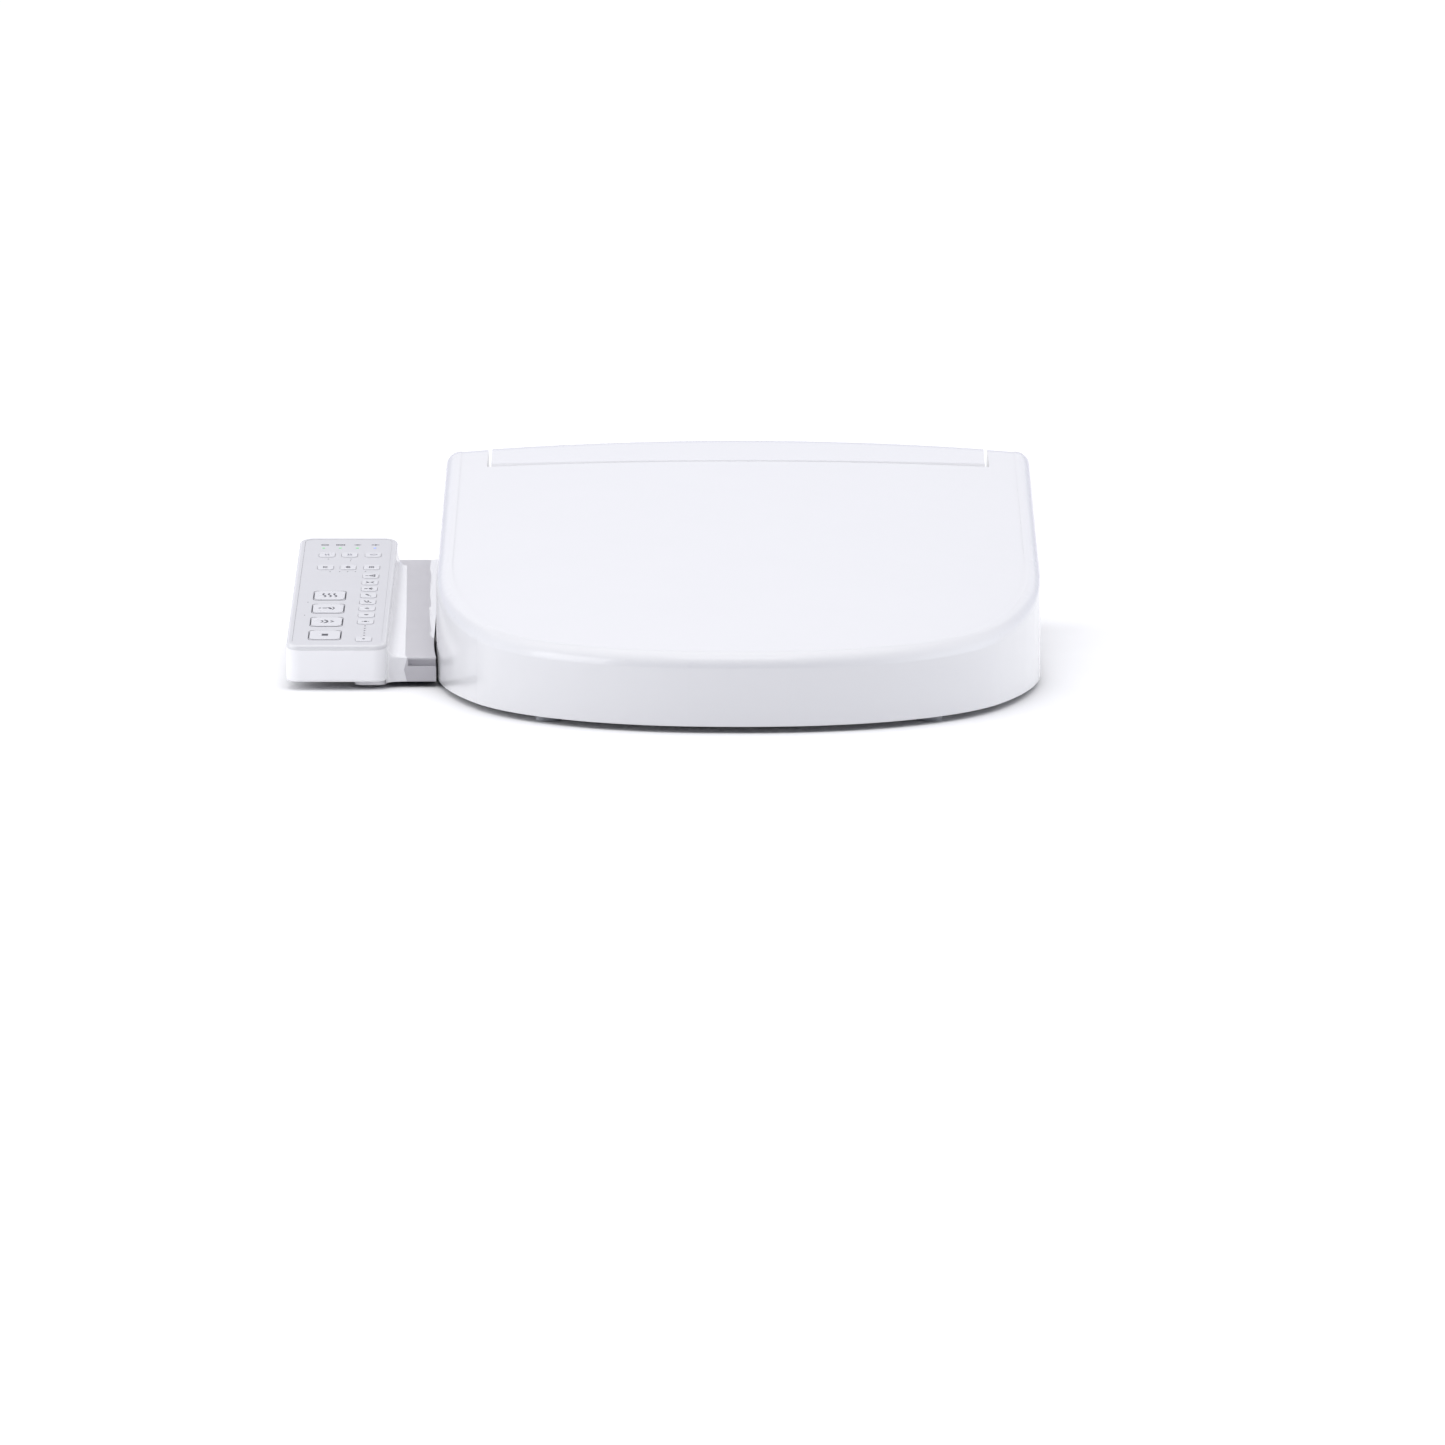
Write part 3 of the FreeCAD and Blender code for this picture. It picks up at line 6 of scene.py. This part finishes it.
import bmesh
import bpy
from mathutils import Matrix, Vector

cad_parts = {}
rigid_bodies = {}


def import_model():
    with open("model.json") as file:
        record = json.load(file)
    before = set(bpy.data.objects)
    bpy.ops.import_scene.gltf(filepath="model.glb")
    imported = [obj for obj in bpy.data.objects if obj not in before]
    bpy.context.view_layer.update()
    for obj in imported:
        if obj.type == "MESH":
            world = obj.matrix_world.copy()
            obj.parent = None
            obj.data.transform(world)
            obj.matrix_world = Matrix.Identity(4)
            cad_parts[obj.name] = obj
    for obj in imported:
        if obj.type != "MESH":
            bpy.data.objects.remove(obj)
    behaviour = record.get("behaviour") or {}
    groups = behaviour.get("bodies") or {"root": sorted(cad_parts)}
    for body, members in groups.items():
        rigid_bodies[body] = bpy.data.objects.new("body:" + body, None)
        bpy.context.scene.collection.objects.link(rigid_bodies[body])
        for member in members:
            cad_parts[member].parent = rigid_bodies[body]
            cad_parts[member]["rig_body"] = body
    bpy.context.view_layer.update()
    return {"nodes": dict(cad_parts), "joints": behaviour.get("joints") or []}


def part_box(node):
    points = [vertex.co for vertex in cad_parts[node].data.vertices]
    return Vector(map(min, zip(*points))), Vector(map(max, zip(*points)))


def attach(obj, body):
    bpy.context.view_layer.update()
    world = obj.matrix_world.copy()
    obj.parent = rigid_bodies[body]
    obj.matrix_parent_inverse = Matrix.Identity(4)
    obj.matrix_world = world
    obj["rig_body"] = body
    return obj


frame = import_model()
NODES = frame["nodes"]
JOINTS = {joint["name"]: joint for joint in frame["joints"]}
MM = 0.001

# ---- camera and studio -----------------------------------------------------------------------------------
CAMERA_PLACE = (-0.0102, -6.470, 0.865)
CAMERA_TILT = 81.87            # degrees from straight down
CAMERA_LENS, CAMERA_SENSOR = 246.0, 36.0
FLOOR_COLOUR = (0.885, 0.885, 0.885, 1.0)
# The studio's soft light: overhead, and low down on the left, on the right, behind and in front.
SKY_OVERHEAD = (1.92, 1.91, 1.93)
SKY_LEFT, SKY_RIGHT, SKY_BEHIND = (1.65, 1.68, 1.66), (2.35, 2.40, 2.42), (0.75, 0.75, 0.77)
SKY_LOW = (0.0, 0.01, 0.13)
SKY_SIDE_POWER = 3.0           # how tightly the light at a side is gathered
# Softboxes: name, place, the point it faces, size, power, colour.
SOFTBOXES = (
    ("left", (-2.8, -1.3, 1.0), (-0.2, -0.3, 0.05), (2.2, 1.6), 20.0, (1.0, 1.0, 1.01)),
    ("behind", (0.0, 2.3, 1.25), (0.0, -0.2, 0.1), (3.2, 1.0), 3.0, (1.0, 1.0, 1.0)),
    ("front", (0.0, -0.80, 1.0), (0.0, -0.40, 0.08), (0.6, 0.4), 0.8, (1.0, 1.0, 1.0)),
)
FLOOR_SIZE, FLOOR_DROP = 60, 0.0003


def add_camera():
    data = bpy.data.cameras.new("camera")
    data.sensor_width, data.lens = CAMERA_SENSOR, CAMERA_LENS
    data.clip_end = 100.0
    camera = bpy.data.objects.new("camera", data)
    camera.location = CAMERA_PLACE
    camera.rotation_euler = (math.radians(CAMERA_TILT), 0.0, 0.0)
    bpy.context.collection.objects.link(camera)
    bpy.context.scene.camera = camera


def add_softbox(name, place, target, size, power, colour):
    data = bpy.data.lights.new(name, "AREA")
    data.shape = "RECTANGLE"
    data.size, data.size_y = size
    data.energy, data.color = power, colour
    light = bpy.data.objects.new(name, data)
    light.location = place
    light.rotation_euler = (Vector(target) - Vector(place)).to_track_quat("-Z", "Y").to_euler()
    bpy.context.collection.objects.link(light)


def add_sky():
    """Soft white light, strongest overhead, weaker and bluer low down in front."""
    world = bpy.data.worlds.new("studio")
    world.use_nodes = True
    tree = world.node_tree
    coordinates = tree.nodes.new("ShaderNodeTexCoord")
    parts = tree.nodes.new("ShaderNodeSeparateXYZ")
    tree.links.new(coordinates.outputs["Generated"], parts.inputs[0])

    def calculate(operation, *values):
        node = tree.nodes.new("ShaderNodeMath")
        node.operation = operation
        for socket, value in zip(node.inputs, values):
            if isinstance(value, float):
                socket.default_value = value
            else:
                tree.links.new(value, socket)
        return node.outputs[0]

    def tinted(colour, share, total):
        """total, with that colour added as strongly as share says."""
        node = tree.nodes.new("ShaderNodeVectorMath")
        node.operation = "MULTIPLY_ADD"
        node.inputs[0].default_value = colour
        tree.links.new(share, node.inputs[1])
        tree.links.new(total, node.inputs[2])
        return node.outputs[0]

    x, y, z = parts.outputs
    height = calculate("MAXIMUM", z, 0.0)
    low = calculate("SUBTRACT", 1.0, height)
    total = tree.nodes.new("ShaderNodeCombineXYZ").outputs[0]
    total = tinted(SKY_OVERHEAD, calculate("MULTIPLY", height, height), total)
    total = tinted(SKY_LOW, low, total)
    sides = (SKY_LEFT, calculate("MULTIPLY", x, -1.0)), (SKY_RIGHT, x), (SKY_BEHIND, y)
    for colour, towards in sides:
        share = calculate("POWER", calculate("MAXIMUM", towards, 0.0), SKY_SIDE_POWER)
        total = tinted(colour, calculate("MULTIPLY", share, low), total)
    tree.links.new(total, tree.nodes["Background"].inputs["Color"])
    bpy.context.scene.world = world


def add_floor():
    bpy.ops.mesh.primitive_plane_add(size=FLOOR_SIZE, location=(0, 0, -FLOOR_DROP))
    floor = bpy.context.object
    floor.name = "studio_floor"
    material = make_material("studio_floor", FLOOR_COLOUR, 1.0, tint=0.01, grain=0.0, smudge=0.0)
    material.node_tree.nodes["Principled BSDF"].inputs["Specular IOR Level"].default_value = 0.0
    floor.data.materials.append(material)


# ---- materials -------------------------------------------------------------------------------------------
COAT_ROUGHNESS = 0.06
TINT_SIZE, SMUDGE_SIZE = 60.0, 14.0     # mm, the patches of colour and of roughness
NOISE_LOW, NOISE_HIGH = 0.3, 0.7        # the part of the noise that is used


def make_material(name, colour, roughness, metallic=0.0, coat=0.0, tint=0.03, grain=0.02, grain_size=0.6,
                  wave=0.0, wave_size=9.0, smudge=0.1, glow=0.0):
    """A plastic, rubber or metal: colour that varies a little, roughness in soft patches, and a fine grain.

    Sizes are in mm. wave is the slow unevenness of a moulding and grain the fine one, both as bump depths.
    """
    made = bpy.data.materials.new(name)
    made.use_nodes = True
    tree = made.node_tree
    shader = tree.nodes["Principled BSDF"]
    shader.inputs["Metallic"].default_value = metallic
    shader.inputs["Coat Weight"].default_value = coat
    shader.inputs["Coat Roughness"].default_value = COAT_ROUGHNESS
    if glow:
        shader.inputs["Emission Color"].default_value = colour
        shader.inputs["Emission Strength"].default_value = glow
    place = tree.nodes.new("ShaderNodeTexCoord").outputs["Object"]

    def noise(size_mm, detail):
        texture = tree.nodes.new("ShaderNodeTexNoise")
        texture.inputs["Scale"].default_value = 1.0 / (size_mm * MM)
        texture.inputs["Detail"].default_value = detail
        tree.links.new(place, texture.inputs["Vector"])
        return texture.outputs["Fac"]

    def spread(source, low, high):
        ramp = tree.nodes.new("ShaderNodeMapRange")
        settings = {"From Min": NOISE_LOW, "From Max": NOISE_HIGH, "To Min": low, "To Max": high}
        for socket, value in settings.items():
            ramp.inputs[socket].default_value = value
        tree.links.new(source, ramp.inputs["Value"])
        return ramp.outputs["Result"]

    mix = tree.nodes.new("ShaderNodeMix")
    mix.data_type = "RGBA"
    dark = [channel * (1.0 - tint) for channel in colour[:3]] + [1.0]
    mix.inputs["A"].default_value, mix.inputs["B"].default_value = dark, colour
    tree.links.new(spread(noise(TINT_SIZE, 3.0), 0.0, 1.0), mix.inputs["Factor"])
    tree.links.new(mix.outputs["Result"], shader.inputs["Base Color"])
    if smudge:
        patches = spread(noise(SMUDGE_SIZE, 5.0), roughness * (1 - smudge), roughness * (1 + smudge))
        tree.links.new(patches, shader.inputs["Roughness"])
    else:
        shader.inputs["Roughness"].default_value = roughness

    normal = None
    for depth, size in ((wave, wave_size), (grain, grain_size)):
        if not depth:
            continue
        bump = tree.nodes.new("ShaderNodeBump")
        bump.inputs["Distance"].default_value = depth * MM
        tree.links.new(noise(size, 2.0), bump.inputs["Height"])
        if normal is not None:
            tree.links.new(normal, bump.inputs["Normal"])
        normal = bump.outputs["Normal"]
    if normal is not None:
        tree.links.new(normal, shader.inputs["Normal"])
    return made


def paint(material, *names):
    for name in names:
        mesh = NODES[name].data
        mesh.materials.clear()
        mesh.materials.append(material)


WHITE = make_material("gloss_white", (0.678, 0.679, 0.690, 1), 0.17, coat=0.3, tint=0.008, grain=0.001,
                      grain_size=0.9, wave=0.008, wave_size=28.0)
# Painted light: the panel case gets a lighter copy of the lid's white, standing in for the light on its
# front.
PANEL_PAINTED_LIGHT = make_material("panel_white_painted_light", (0.85, 0.85, 0.86, 1), 0.2, coat=0.3, tint=0.008, grain=0.002,
                      grain_size=0.6, wave=0.006, wave_size=22.0)
CASE = make_material("case_white", (0.71, 0.711, 0.722, 1), 0.34, tint=0.015, grain=0.004, grain_size=0.4)
KEY = make_material("key_white", (0.605, 0.605, 0.625, 1), 0.28, coat=0.2, tint=0.01, grain=0.002,
                    grain_size=0.3)
# Painted shade: a darker copy of the panel's white for the arm, standing in for the shade between the panel
# and the lid.
ARM_PAINTED_SHADE = make_material("arm_painted_shade", (0.545, 0.535, 0.558, 1), 0.38, tint=0.015, grain=0.004, grain_size=0.4)
FASCIA = make_material("fascia_grey", (0.575, 0.575, 0.597, 1), 0.52, tint=0.012, grain=0.004,
                       grain_size=0.25)
INNER = make_material("inner_plastic", (0.66, 0.67, 0.68, 1), 0.5, tint=0.04, grain=0.01, grain_size=0.5)
DARK = make_material("dark_plastic", (0.035, 0.036, 0.04, 1), 0.42, tint=0.25, grain=0.012, grain_size=0.4)
RUBBER = make_material("rubber", (0.42, 0.43, 0.45, 1), 0.7, tint=0.12, grain=0.02, grain_size=0.35)
HOSE = make_material("hose_grey", (0.25, 0.26, 0.28, 1), 0.4, tint=0.1, grain=0.01, grain_size=0.5)
STEEL = make_material("steel", (0.58, 0.58, 0.6, 1), 0.28, metallic=1.0, tint=0.08, grain=0.004,
                      grain_size=0.3)
BOARD = make_material("circuit_board", (0.02, 0.16, 0.07, 1), 0.4, tint=0.2, grain=0.01, grain_size=0.5)
FOIL = make_material("heater_foil", (0.7, 0.7, 0.71, 1), 0.35, metallic=0.9, tint=0.06, wave=0.08,
                     wave_size=6.0)
GREEN = make_material("green_light", (0.13, 0.72, 0.2, 1), 0.25, tint=0.05, grain=0.001, glow=0.2)
BLUE = make_material("blue_light", (0.22, 0.36, 0.95, 1), 0.25, tint=0.05, grain=0.001, glow=0.2)
DIM = make_material("dim_light", (0.12, 0.12, 0.14, 1), 0.35, tint=0.05, grain=0.001)
# The printed grey is also the colour of the painted shade round the large keys.
PRINT_AND_GAP_SHADE = make_material("printed_grey_and_gap_shade", (0.05, 0.05, 0.065, 1), 0.5, tint=0.08, grain=0.001)
PALE_PRINT = make_material("printed_pale_grey", (0.22, 0.22, 0.26, 1), 0.5, tint=0.08, grain=0.001)

FINISHES = {
    WHITE: ["unit_upper_case", "panel_bezel", "seat_upper_shell", "lid_shell"],
    PANEL_PAINTED_LIGHT: ["panel_case"],
    CASE: ["unit_lower_case", "nozzle_tip", "dryer_flap", "release_button", "seat_lower_shell"],
    FASCIA: ["panel_fascia"],
    INNER: ["mounting_plate", "water_tank", "nozzle_guide", "drive_gear", "dryer_duct"],
    DARK: ["bolt_retainers", "inlet_valve", "water_inlet", "dryer_housing", "fan_wheel", "hinge_dampers"],
    RUBBER: ["mount_pad", "unit_feet", "keypad_sheet", "cord_gland", "seat_bumpers", "lid_bumpers"],
    HOSE: ["water_hose"],
    STEEL: ["mounting_bolts", "case_screws", "nozzle_motor", "nozzle_wand", "dryer_motor", "hinge_pins"],
    BOARD: ["keypad_board", "main_board"],
    FOIL: ["seat_heater"],
    GREEN: ["status_lights"],
    DIM: ["level_lights"],
}
for finish, names in FINISHES.items():
    paint(finish, *names)
paint(KEY, *[name for name in NODES if name.startswith("key_")])

# The panel's face slopes. OUT points away from it, ACROSS to the right along it, and UP up the slope.
OUT = -Vector(JOINTS["key_stop_press"]["axis"]).normalized()
ACROSS = Vector((1.0, 0.0, 0.0))
UP = OUT.cross(ACROSS).normalized()
LIGHT_REACH = 6 * MM           # the rightmost status light lies within this of the lights' right end
ARM_FROM_X = -222.4 * MM       # the arm starts here, right of the flute
ARM_LEAN = 0.03                # the most that an arm's flat face leans left or right
RIM_FACING = 0.97              # the least that a face of the bezel's rim points along OUT


def paint_faces(material, node, chosen):
    """Give a node's chosen faces a second material."""
    mesh = NODES[node].data
    mesh.materials.append(material)
    for face in mesh.polygons:
        if chosen(face):
            face.material_index = 1


# The rightmost status light is blue.
blue_from_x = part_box("status_lights")[1].x - LIGHT_REACH
paint_faces(BLUE, "status_lights", lambda face: face.center.x > blue_from_x)
# Painted shade: the arm's flat faces are darker than the panel and the flute beside it, a darker copy of
# the same white that stands in for the shade in the valley between the panel and the lid.
paint_faces(ARM_PAINTED_SHADE, "panel_case", lambda face: face.center.x > ARM_FROM_X and abs(face.normal.x) < ARM_LEAN)
# The bezel's flat rim has the fascia's finish, and only its rounded edge is glossy.
paint_faces(FASCIA, "panel_bezel", lambda face: face.normal.dot(OUT) > RIM_FACING)

# ---- printed marks on the panel, and painted shade round its large keys ----------------------------------
# All in mm.
PRINT_RISE = 0.05              # how far a printed mark stands above its face
PRINT_ROOT = 0.10              # and how far it goes in
FINE, BOLD = 0.75, 1.25        # stroke widths
DOT = 0.45                     # a setting dot's radius
GAP_SHADE_WIDTH, GAP_SHADE_CORNER = 0.42, 2.4     # the painted shade line round each large key, which stands in for the shade in the gap round it, and its corners
GAP_SHADE_OFFSET = 0.4              # from the key to that line
KEY_RIM = 1.0                  # how far down a key its sides are looked for


def curve(centre, radii, start, end, steps=12):
    """Points along part of an ellipse, angles in degrees from the right."""
    turns = [math.radians(start + (end - start) * step / steps) for step in range(steps + 1)]
    return [(centre[0] + radii[0] * math.cos(t), centre[1] + radii[1] * math.sin(t)) for t in turns]


def ripple(x, low, high, swing, steps=16):
    """Points up a wavy line of one full wave."""
    shares = [step / steps for step in range(steps + 1)]
    return [(x + swing * math.sin(2 * math.pi * share), low + share * (high - low)) for share in shares]


def stroke(points, width=FINE, closed=False):
    """The two edges of a line of that width, mitred at its corners."""
    edges = []
    count = len(points)
    for number, (x, y) in enumerate(points):
        before = points[number - 1] if closed or number else None
        after = points[(number + 1) % count] if closed or number + 1 < count else None
        ways = [Vector((x - before[0], y - before[1])).normalized()] if before else []
        ways += [Vector((after[0] - x, after[1] - y)).normalized()] if after else []
        way = sum(ways, Vector((0, 0))).normalized()
        side = Vector((-way.y, way.x)) * (width / 2 / max(0.5, way.dot(ways[0])))
        edges.append((Vector((x, y)) + side, Vector((x, y)) - side))
    following = edges[1:] + (edges[:1] if closed else [])
    return [(a[0], a[1], b[1], b[0]) for a, b in zip(edges, following)]


def filled(points):
    return [tuple(Vector(point) for point in points)]


def dot(x, y, radius):
    return filled(curve((x, y), (radius, radius), 0, 330, 11))


def ring(x, y, width, height, line=FINE):
    return stroke(curve((x, y), (width / 2, height / 2), 0, 345, 23), line, closed=True)


def spray(x, y, turns, inner, outer):
    """Short jets that fan out from a point, at those angles in degrees from the right."""
    patches = []
    for turn in map(math.radians, turns):
        line = [(x + reach * math.cos(turn), y + reach * math.sin(turn)) for reach in (inner, outer)]
        patches += stroke(line)
    return patches


def moved(patches, shift):
    return [tuple(point + shift for point in patch) for patch in patches]


def mark_mesh(name, patches, origin):
    """A thin printed mark or line of painted shade: each flat patch, in mm, becomes a low solid on the face
    at the origin.
    """
    work = bmesh.new()
    for patch in patches:
        layers = []
        for height in (PRINT_RISE, -PRINT_ROOT):
            places = [origin + (ACROSS * p.x + UP * p.y + OUT * height) * MM for p in patch]
            layers.append([work.verts.new(place) for place in places])
        top, bottom = layers
        work.faces.new(top)
        work.faces.new(bottom[::-1])
        for a, b, c, d in zip(top, top[1:] + top[:1], bottom[1:] + bottom[:1], bottom):
            work.faces.new((a, d, c, b))
    bmesh.ops.recalc_face_normals(work, faces=work.faces)
    mesh = bpy.data.meshes.new(name)
    work.to_mesh(mesh)
    work.free()
    made = bpy.data.objects.new(name, mesh)
    bpy.context.collection.objects.link(made)
    return made


def corners_of(name):
    return [vertex.co for vertex in NODES[name].data.vertices]


def span(places, way):
    """The lowest and highest of the places along a direction."""
    reaches = [way.dot(place) for place in places]
    return min(reaches), max(reaches)


def key_middle(name):
    """The middle of a key's top."""
    places = corners_of(name)
    across, up = (sum(span(places, way)) / 2 for way in (ACROSS, UP))
    return ACROSS * across + UP * up + OUT * span(places, OUT)[1]


def gap_shade_ring(name):
    """A rounded line of painted shade round a key, standing in for the shade in its gap, from the middle of
    its top.
    """
    top = span(corners_of(name), OUT)[1]
    rim = [place for place in corners_of(name) if OUT.dot(place) > top - KEY_RIM * MM]
    sizes = []
    for way in (ACROSS, UP):
        low, high = span(rim, way)
        sizes.append((high - low) / 2 / MM + GAP_SHADE_OFFSET + GAP_SHADE_WIDTH / 2 - GAP_SHADE_CORNER)
    wide, high = sizes
    points = []
    for x, y, start in ((wide, high, 0), (-wide, high, 90), (-wide, -high, 180), (wide, -high, 270)):
        points += curve((x, y), (GAP_SHADE_CORNER, GAP_SHADE_CORNER), start, start + 90, 6)
    return stroke(points, GAP_SHADE_WIDTH, closed=True)


# In mm from the middle of a key's top: to the right, then up the slope.
KEY_MARKS = {
    "key_dry": sum((stroke(ripple(x, -3.8, 3.8, 0.9), 1.0) for x in (-3.5, 0.0, 3.5)), []),
    "key_front_wash": stroke([(-6.2, 0.4), (-4.6, 0.4)], BOLD) + stroke([(-3.6, 0.4), (-0.8, 0.4)], BOLD)
    + filled([(-0.8, 1.2), (1.6, -2.2), (2.6, -1.0), (1.2, 1.8)])
    + stroke(curve((0.6, 0), (3.2, 3.6), -50, 50)),
    "key_rear_wash": stroke(curve((-2.4, 0), (3.0, 3.0), -75, 75), BOLD)
    + stroke(curve((-5.0, 0), (2.6, 2.6), -60, 60)) + stroke([(2.6, 2.0), (4.4, 0), (2.6, -2.0)]),
    "key_stop": filled([(-2.0, -2.0), (2.0, -2.0), (2.0, 2.0), (-2.0, 2.0)]),
    "key_water_heat": stroke(ripple(-0.9, -1.6, 1.6, 0.4)) + stroke(ripple(0.9, -1.6, 1.6, 0.4)),
    "key_seat_heat": filled([(-1.6, -1.6), (1.6, -1.6), (1.6, -0.9), (-1.6, -0.9)])
    + stroke(ripple(-0.8, -0.4, 1.8, 0.3)) + stroke(ripple(0.8, -0.4, 1.8, 0.3)),
    "key_air_heat": ring(0.4, 0, 4.4, 2.2, 0.6),
    "key_power_save": stroke([(-1.2, -1.6), (-1.2, 1.6)]) + stroke([(1.2, 1.6), (-0.9, 0), (1.2, -1.6)]),
    "key_night_light": ring(0, 0, 2.2, 3.0) + stroke([(-1.1, 0), (1.1, 0)]),
    "key_nozzle_clean": stroke([(-1.3, -1.7), (-1.3, 1.7)]) + ring(0.5, 0, 1.6, 2.8),
    "key_auto": stroke([(-3.4, 0.2), (-1.6, 0.2)])
    + stroke([(-0.8, 0.2), (2.6, 2.4), (2.6, -2.0)], closed=True) + dot(1.4, 0.2, 0.5),
    "key_kids": filled([(-2.8, 2.2), (-0.3, 0.2), (-0.3, -0.2), (-2.8, -2.2), (-1.8, 0)])
    + filled([(2.8, 2.2), (0.3, 0.2), (0.3, -0.2), (2.8, -2.2), (1.8, 0)]),
    "key_wide_wash": stroke([(-3.2, 0), (-1.0, 0)], BOLD) + spray(-0.6, 0, (-38, 0, 38), 0.6, 3.0),
    "key_massage": stroke([(-1.7, 2.3), (0.4, -0.6)], BOLD) + dot(1.4, -1.9, 0.5),
    "key_nozzle_forward": stroke([(-2.4, 2.3), (-0.2, -2.0)])
    + stroke([(0.2, 2.3), (0.2, -0.2), (2.4, -2.0)]),
    "key_nozzle_back": filled(curve((0, -0.9), (1.4, 1.9), 0, 180)),
    "key_aerate": filled(curve((0, 0.9), (1.4, 1.9), 180, 360)),
    "key_pressure_up": dot(0, 0, 1.15) + stroke([(-2.4, 0), (-1.6, 0)]) + stroke([(1.6, 0), (2.4, 0)]),
    "key_pressure_down": dot(0, 0, 0.95),
}
LARGE_KEYS = ("key_dry", "key_front_wash", "key_rear_wash", "key_stop")
# One mark above each status light, in mm: the lights' x, and the y of every mark.
STATUS_X, STATUS_MARK_Y = (-270.9, -260.1, -248.9, -237.4), -55.8
STATUS_MARKS = (
    ring(0.6, 0, 4.6, 2.4, 0.7),
    ring(0, 0, 3.4, 2.2, 0.7) + filled([(-2.9, -1.2), (-2.1, -1.2), (-2.1, 1.2), (-2.9, 1.2)])
    + filled([(2.9, -1.2), (2.1, -1.2), (2.1, 1.2), (2.9, 1.2)]),
    filled([(-2.6, 0), (0, 1.0), (2.6, 0), (0, -1.0)]),
    stroke([(-2.4, 0), (-0.8, 0)], BOLD) + stroke([(-0.4, 1.6), (1.2, 0), (-0.4, -1.6)], 0.7)
    + stroke([(1.2, 0), (2.8, 0)]),
)
# The x and y of the small dots beside the keys, that say which setting is on.
SETTING_DOTS = [(-267.0, -86.6), (-252.2, -86.6), (-252.4, -90.4), (-264.8, -113.8), (-258.6, -113.8),
                (-253.4, -113.8), (-248.4, -113.8), (-242.0, -113.8), (-276.6, -178.9), (-277.6, -206.4)]

# Each key's mark moves with its key. The marks of the keys for heat are paler.
for key, patches in KEY_MARKS.items():
    mark = mark_mesh(key + "_mark", patches, key_middle(key))
    mark.data.materials.append(PALE_PRINT if "heat" in key else PRINT_AND_GAP_SHADE)
    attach(mark, NODES[key]["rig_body"])

# The marks on the fascia itself, its print and the painted shade round the large keys, are one piece, drawn
# from the point of its face above the origin.
face_origin = Vector((0, 0, span(corners_of("panel_fascia"), OUT)[1] / OUT.z))
print_and_gap_shade_patches = []
for x, patches in zip(STATUS_X, STATUS_MARKS):
    print_and_gap_shade_patches += moved(patches, Vector((x, STATUS_MARK_Y / UP.y)))
for x, y in SETTING_DOTS:
    print_and_gap_shade_patches += moved(dot(0, 0, DOT), Vector((x, y / UP.y)))
# Painted shade: a dark line round each large key stands in for the shade in the gap round the key.
for key in LARGE_KEYS:
    offset = key_middle(key) - face_origin
    print_and_gap_shade_patches += moved(gap_shade_ring(key), Vector((ACROSS.dot(offset), UP.dot(offset))) / MM)
panel_print_and_gap_shade = mark_mesh("panel_print_and_gap_shade", print_and_gap_shade_patches, face_origin)
panel_print_and_gap_shade.data.materials.append(PRINT_AND_GAP_SHADE)
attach(panel_print_and_gap_shade, "unit")

add_camera()
add_sky()
add_floor()
for softbox in SOFTBOXES:
    add_softbox(*softbox)
bpy.context.scene.view_settings.view_transform = "Standard"
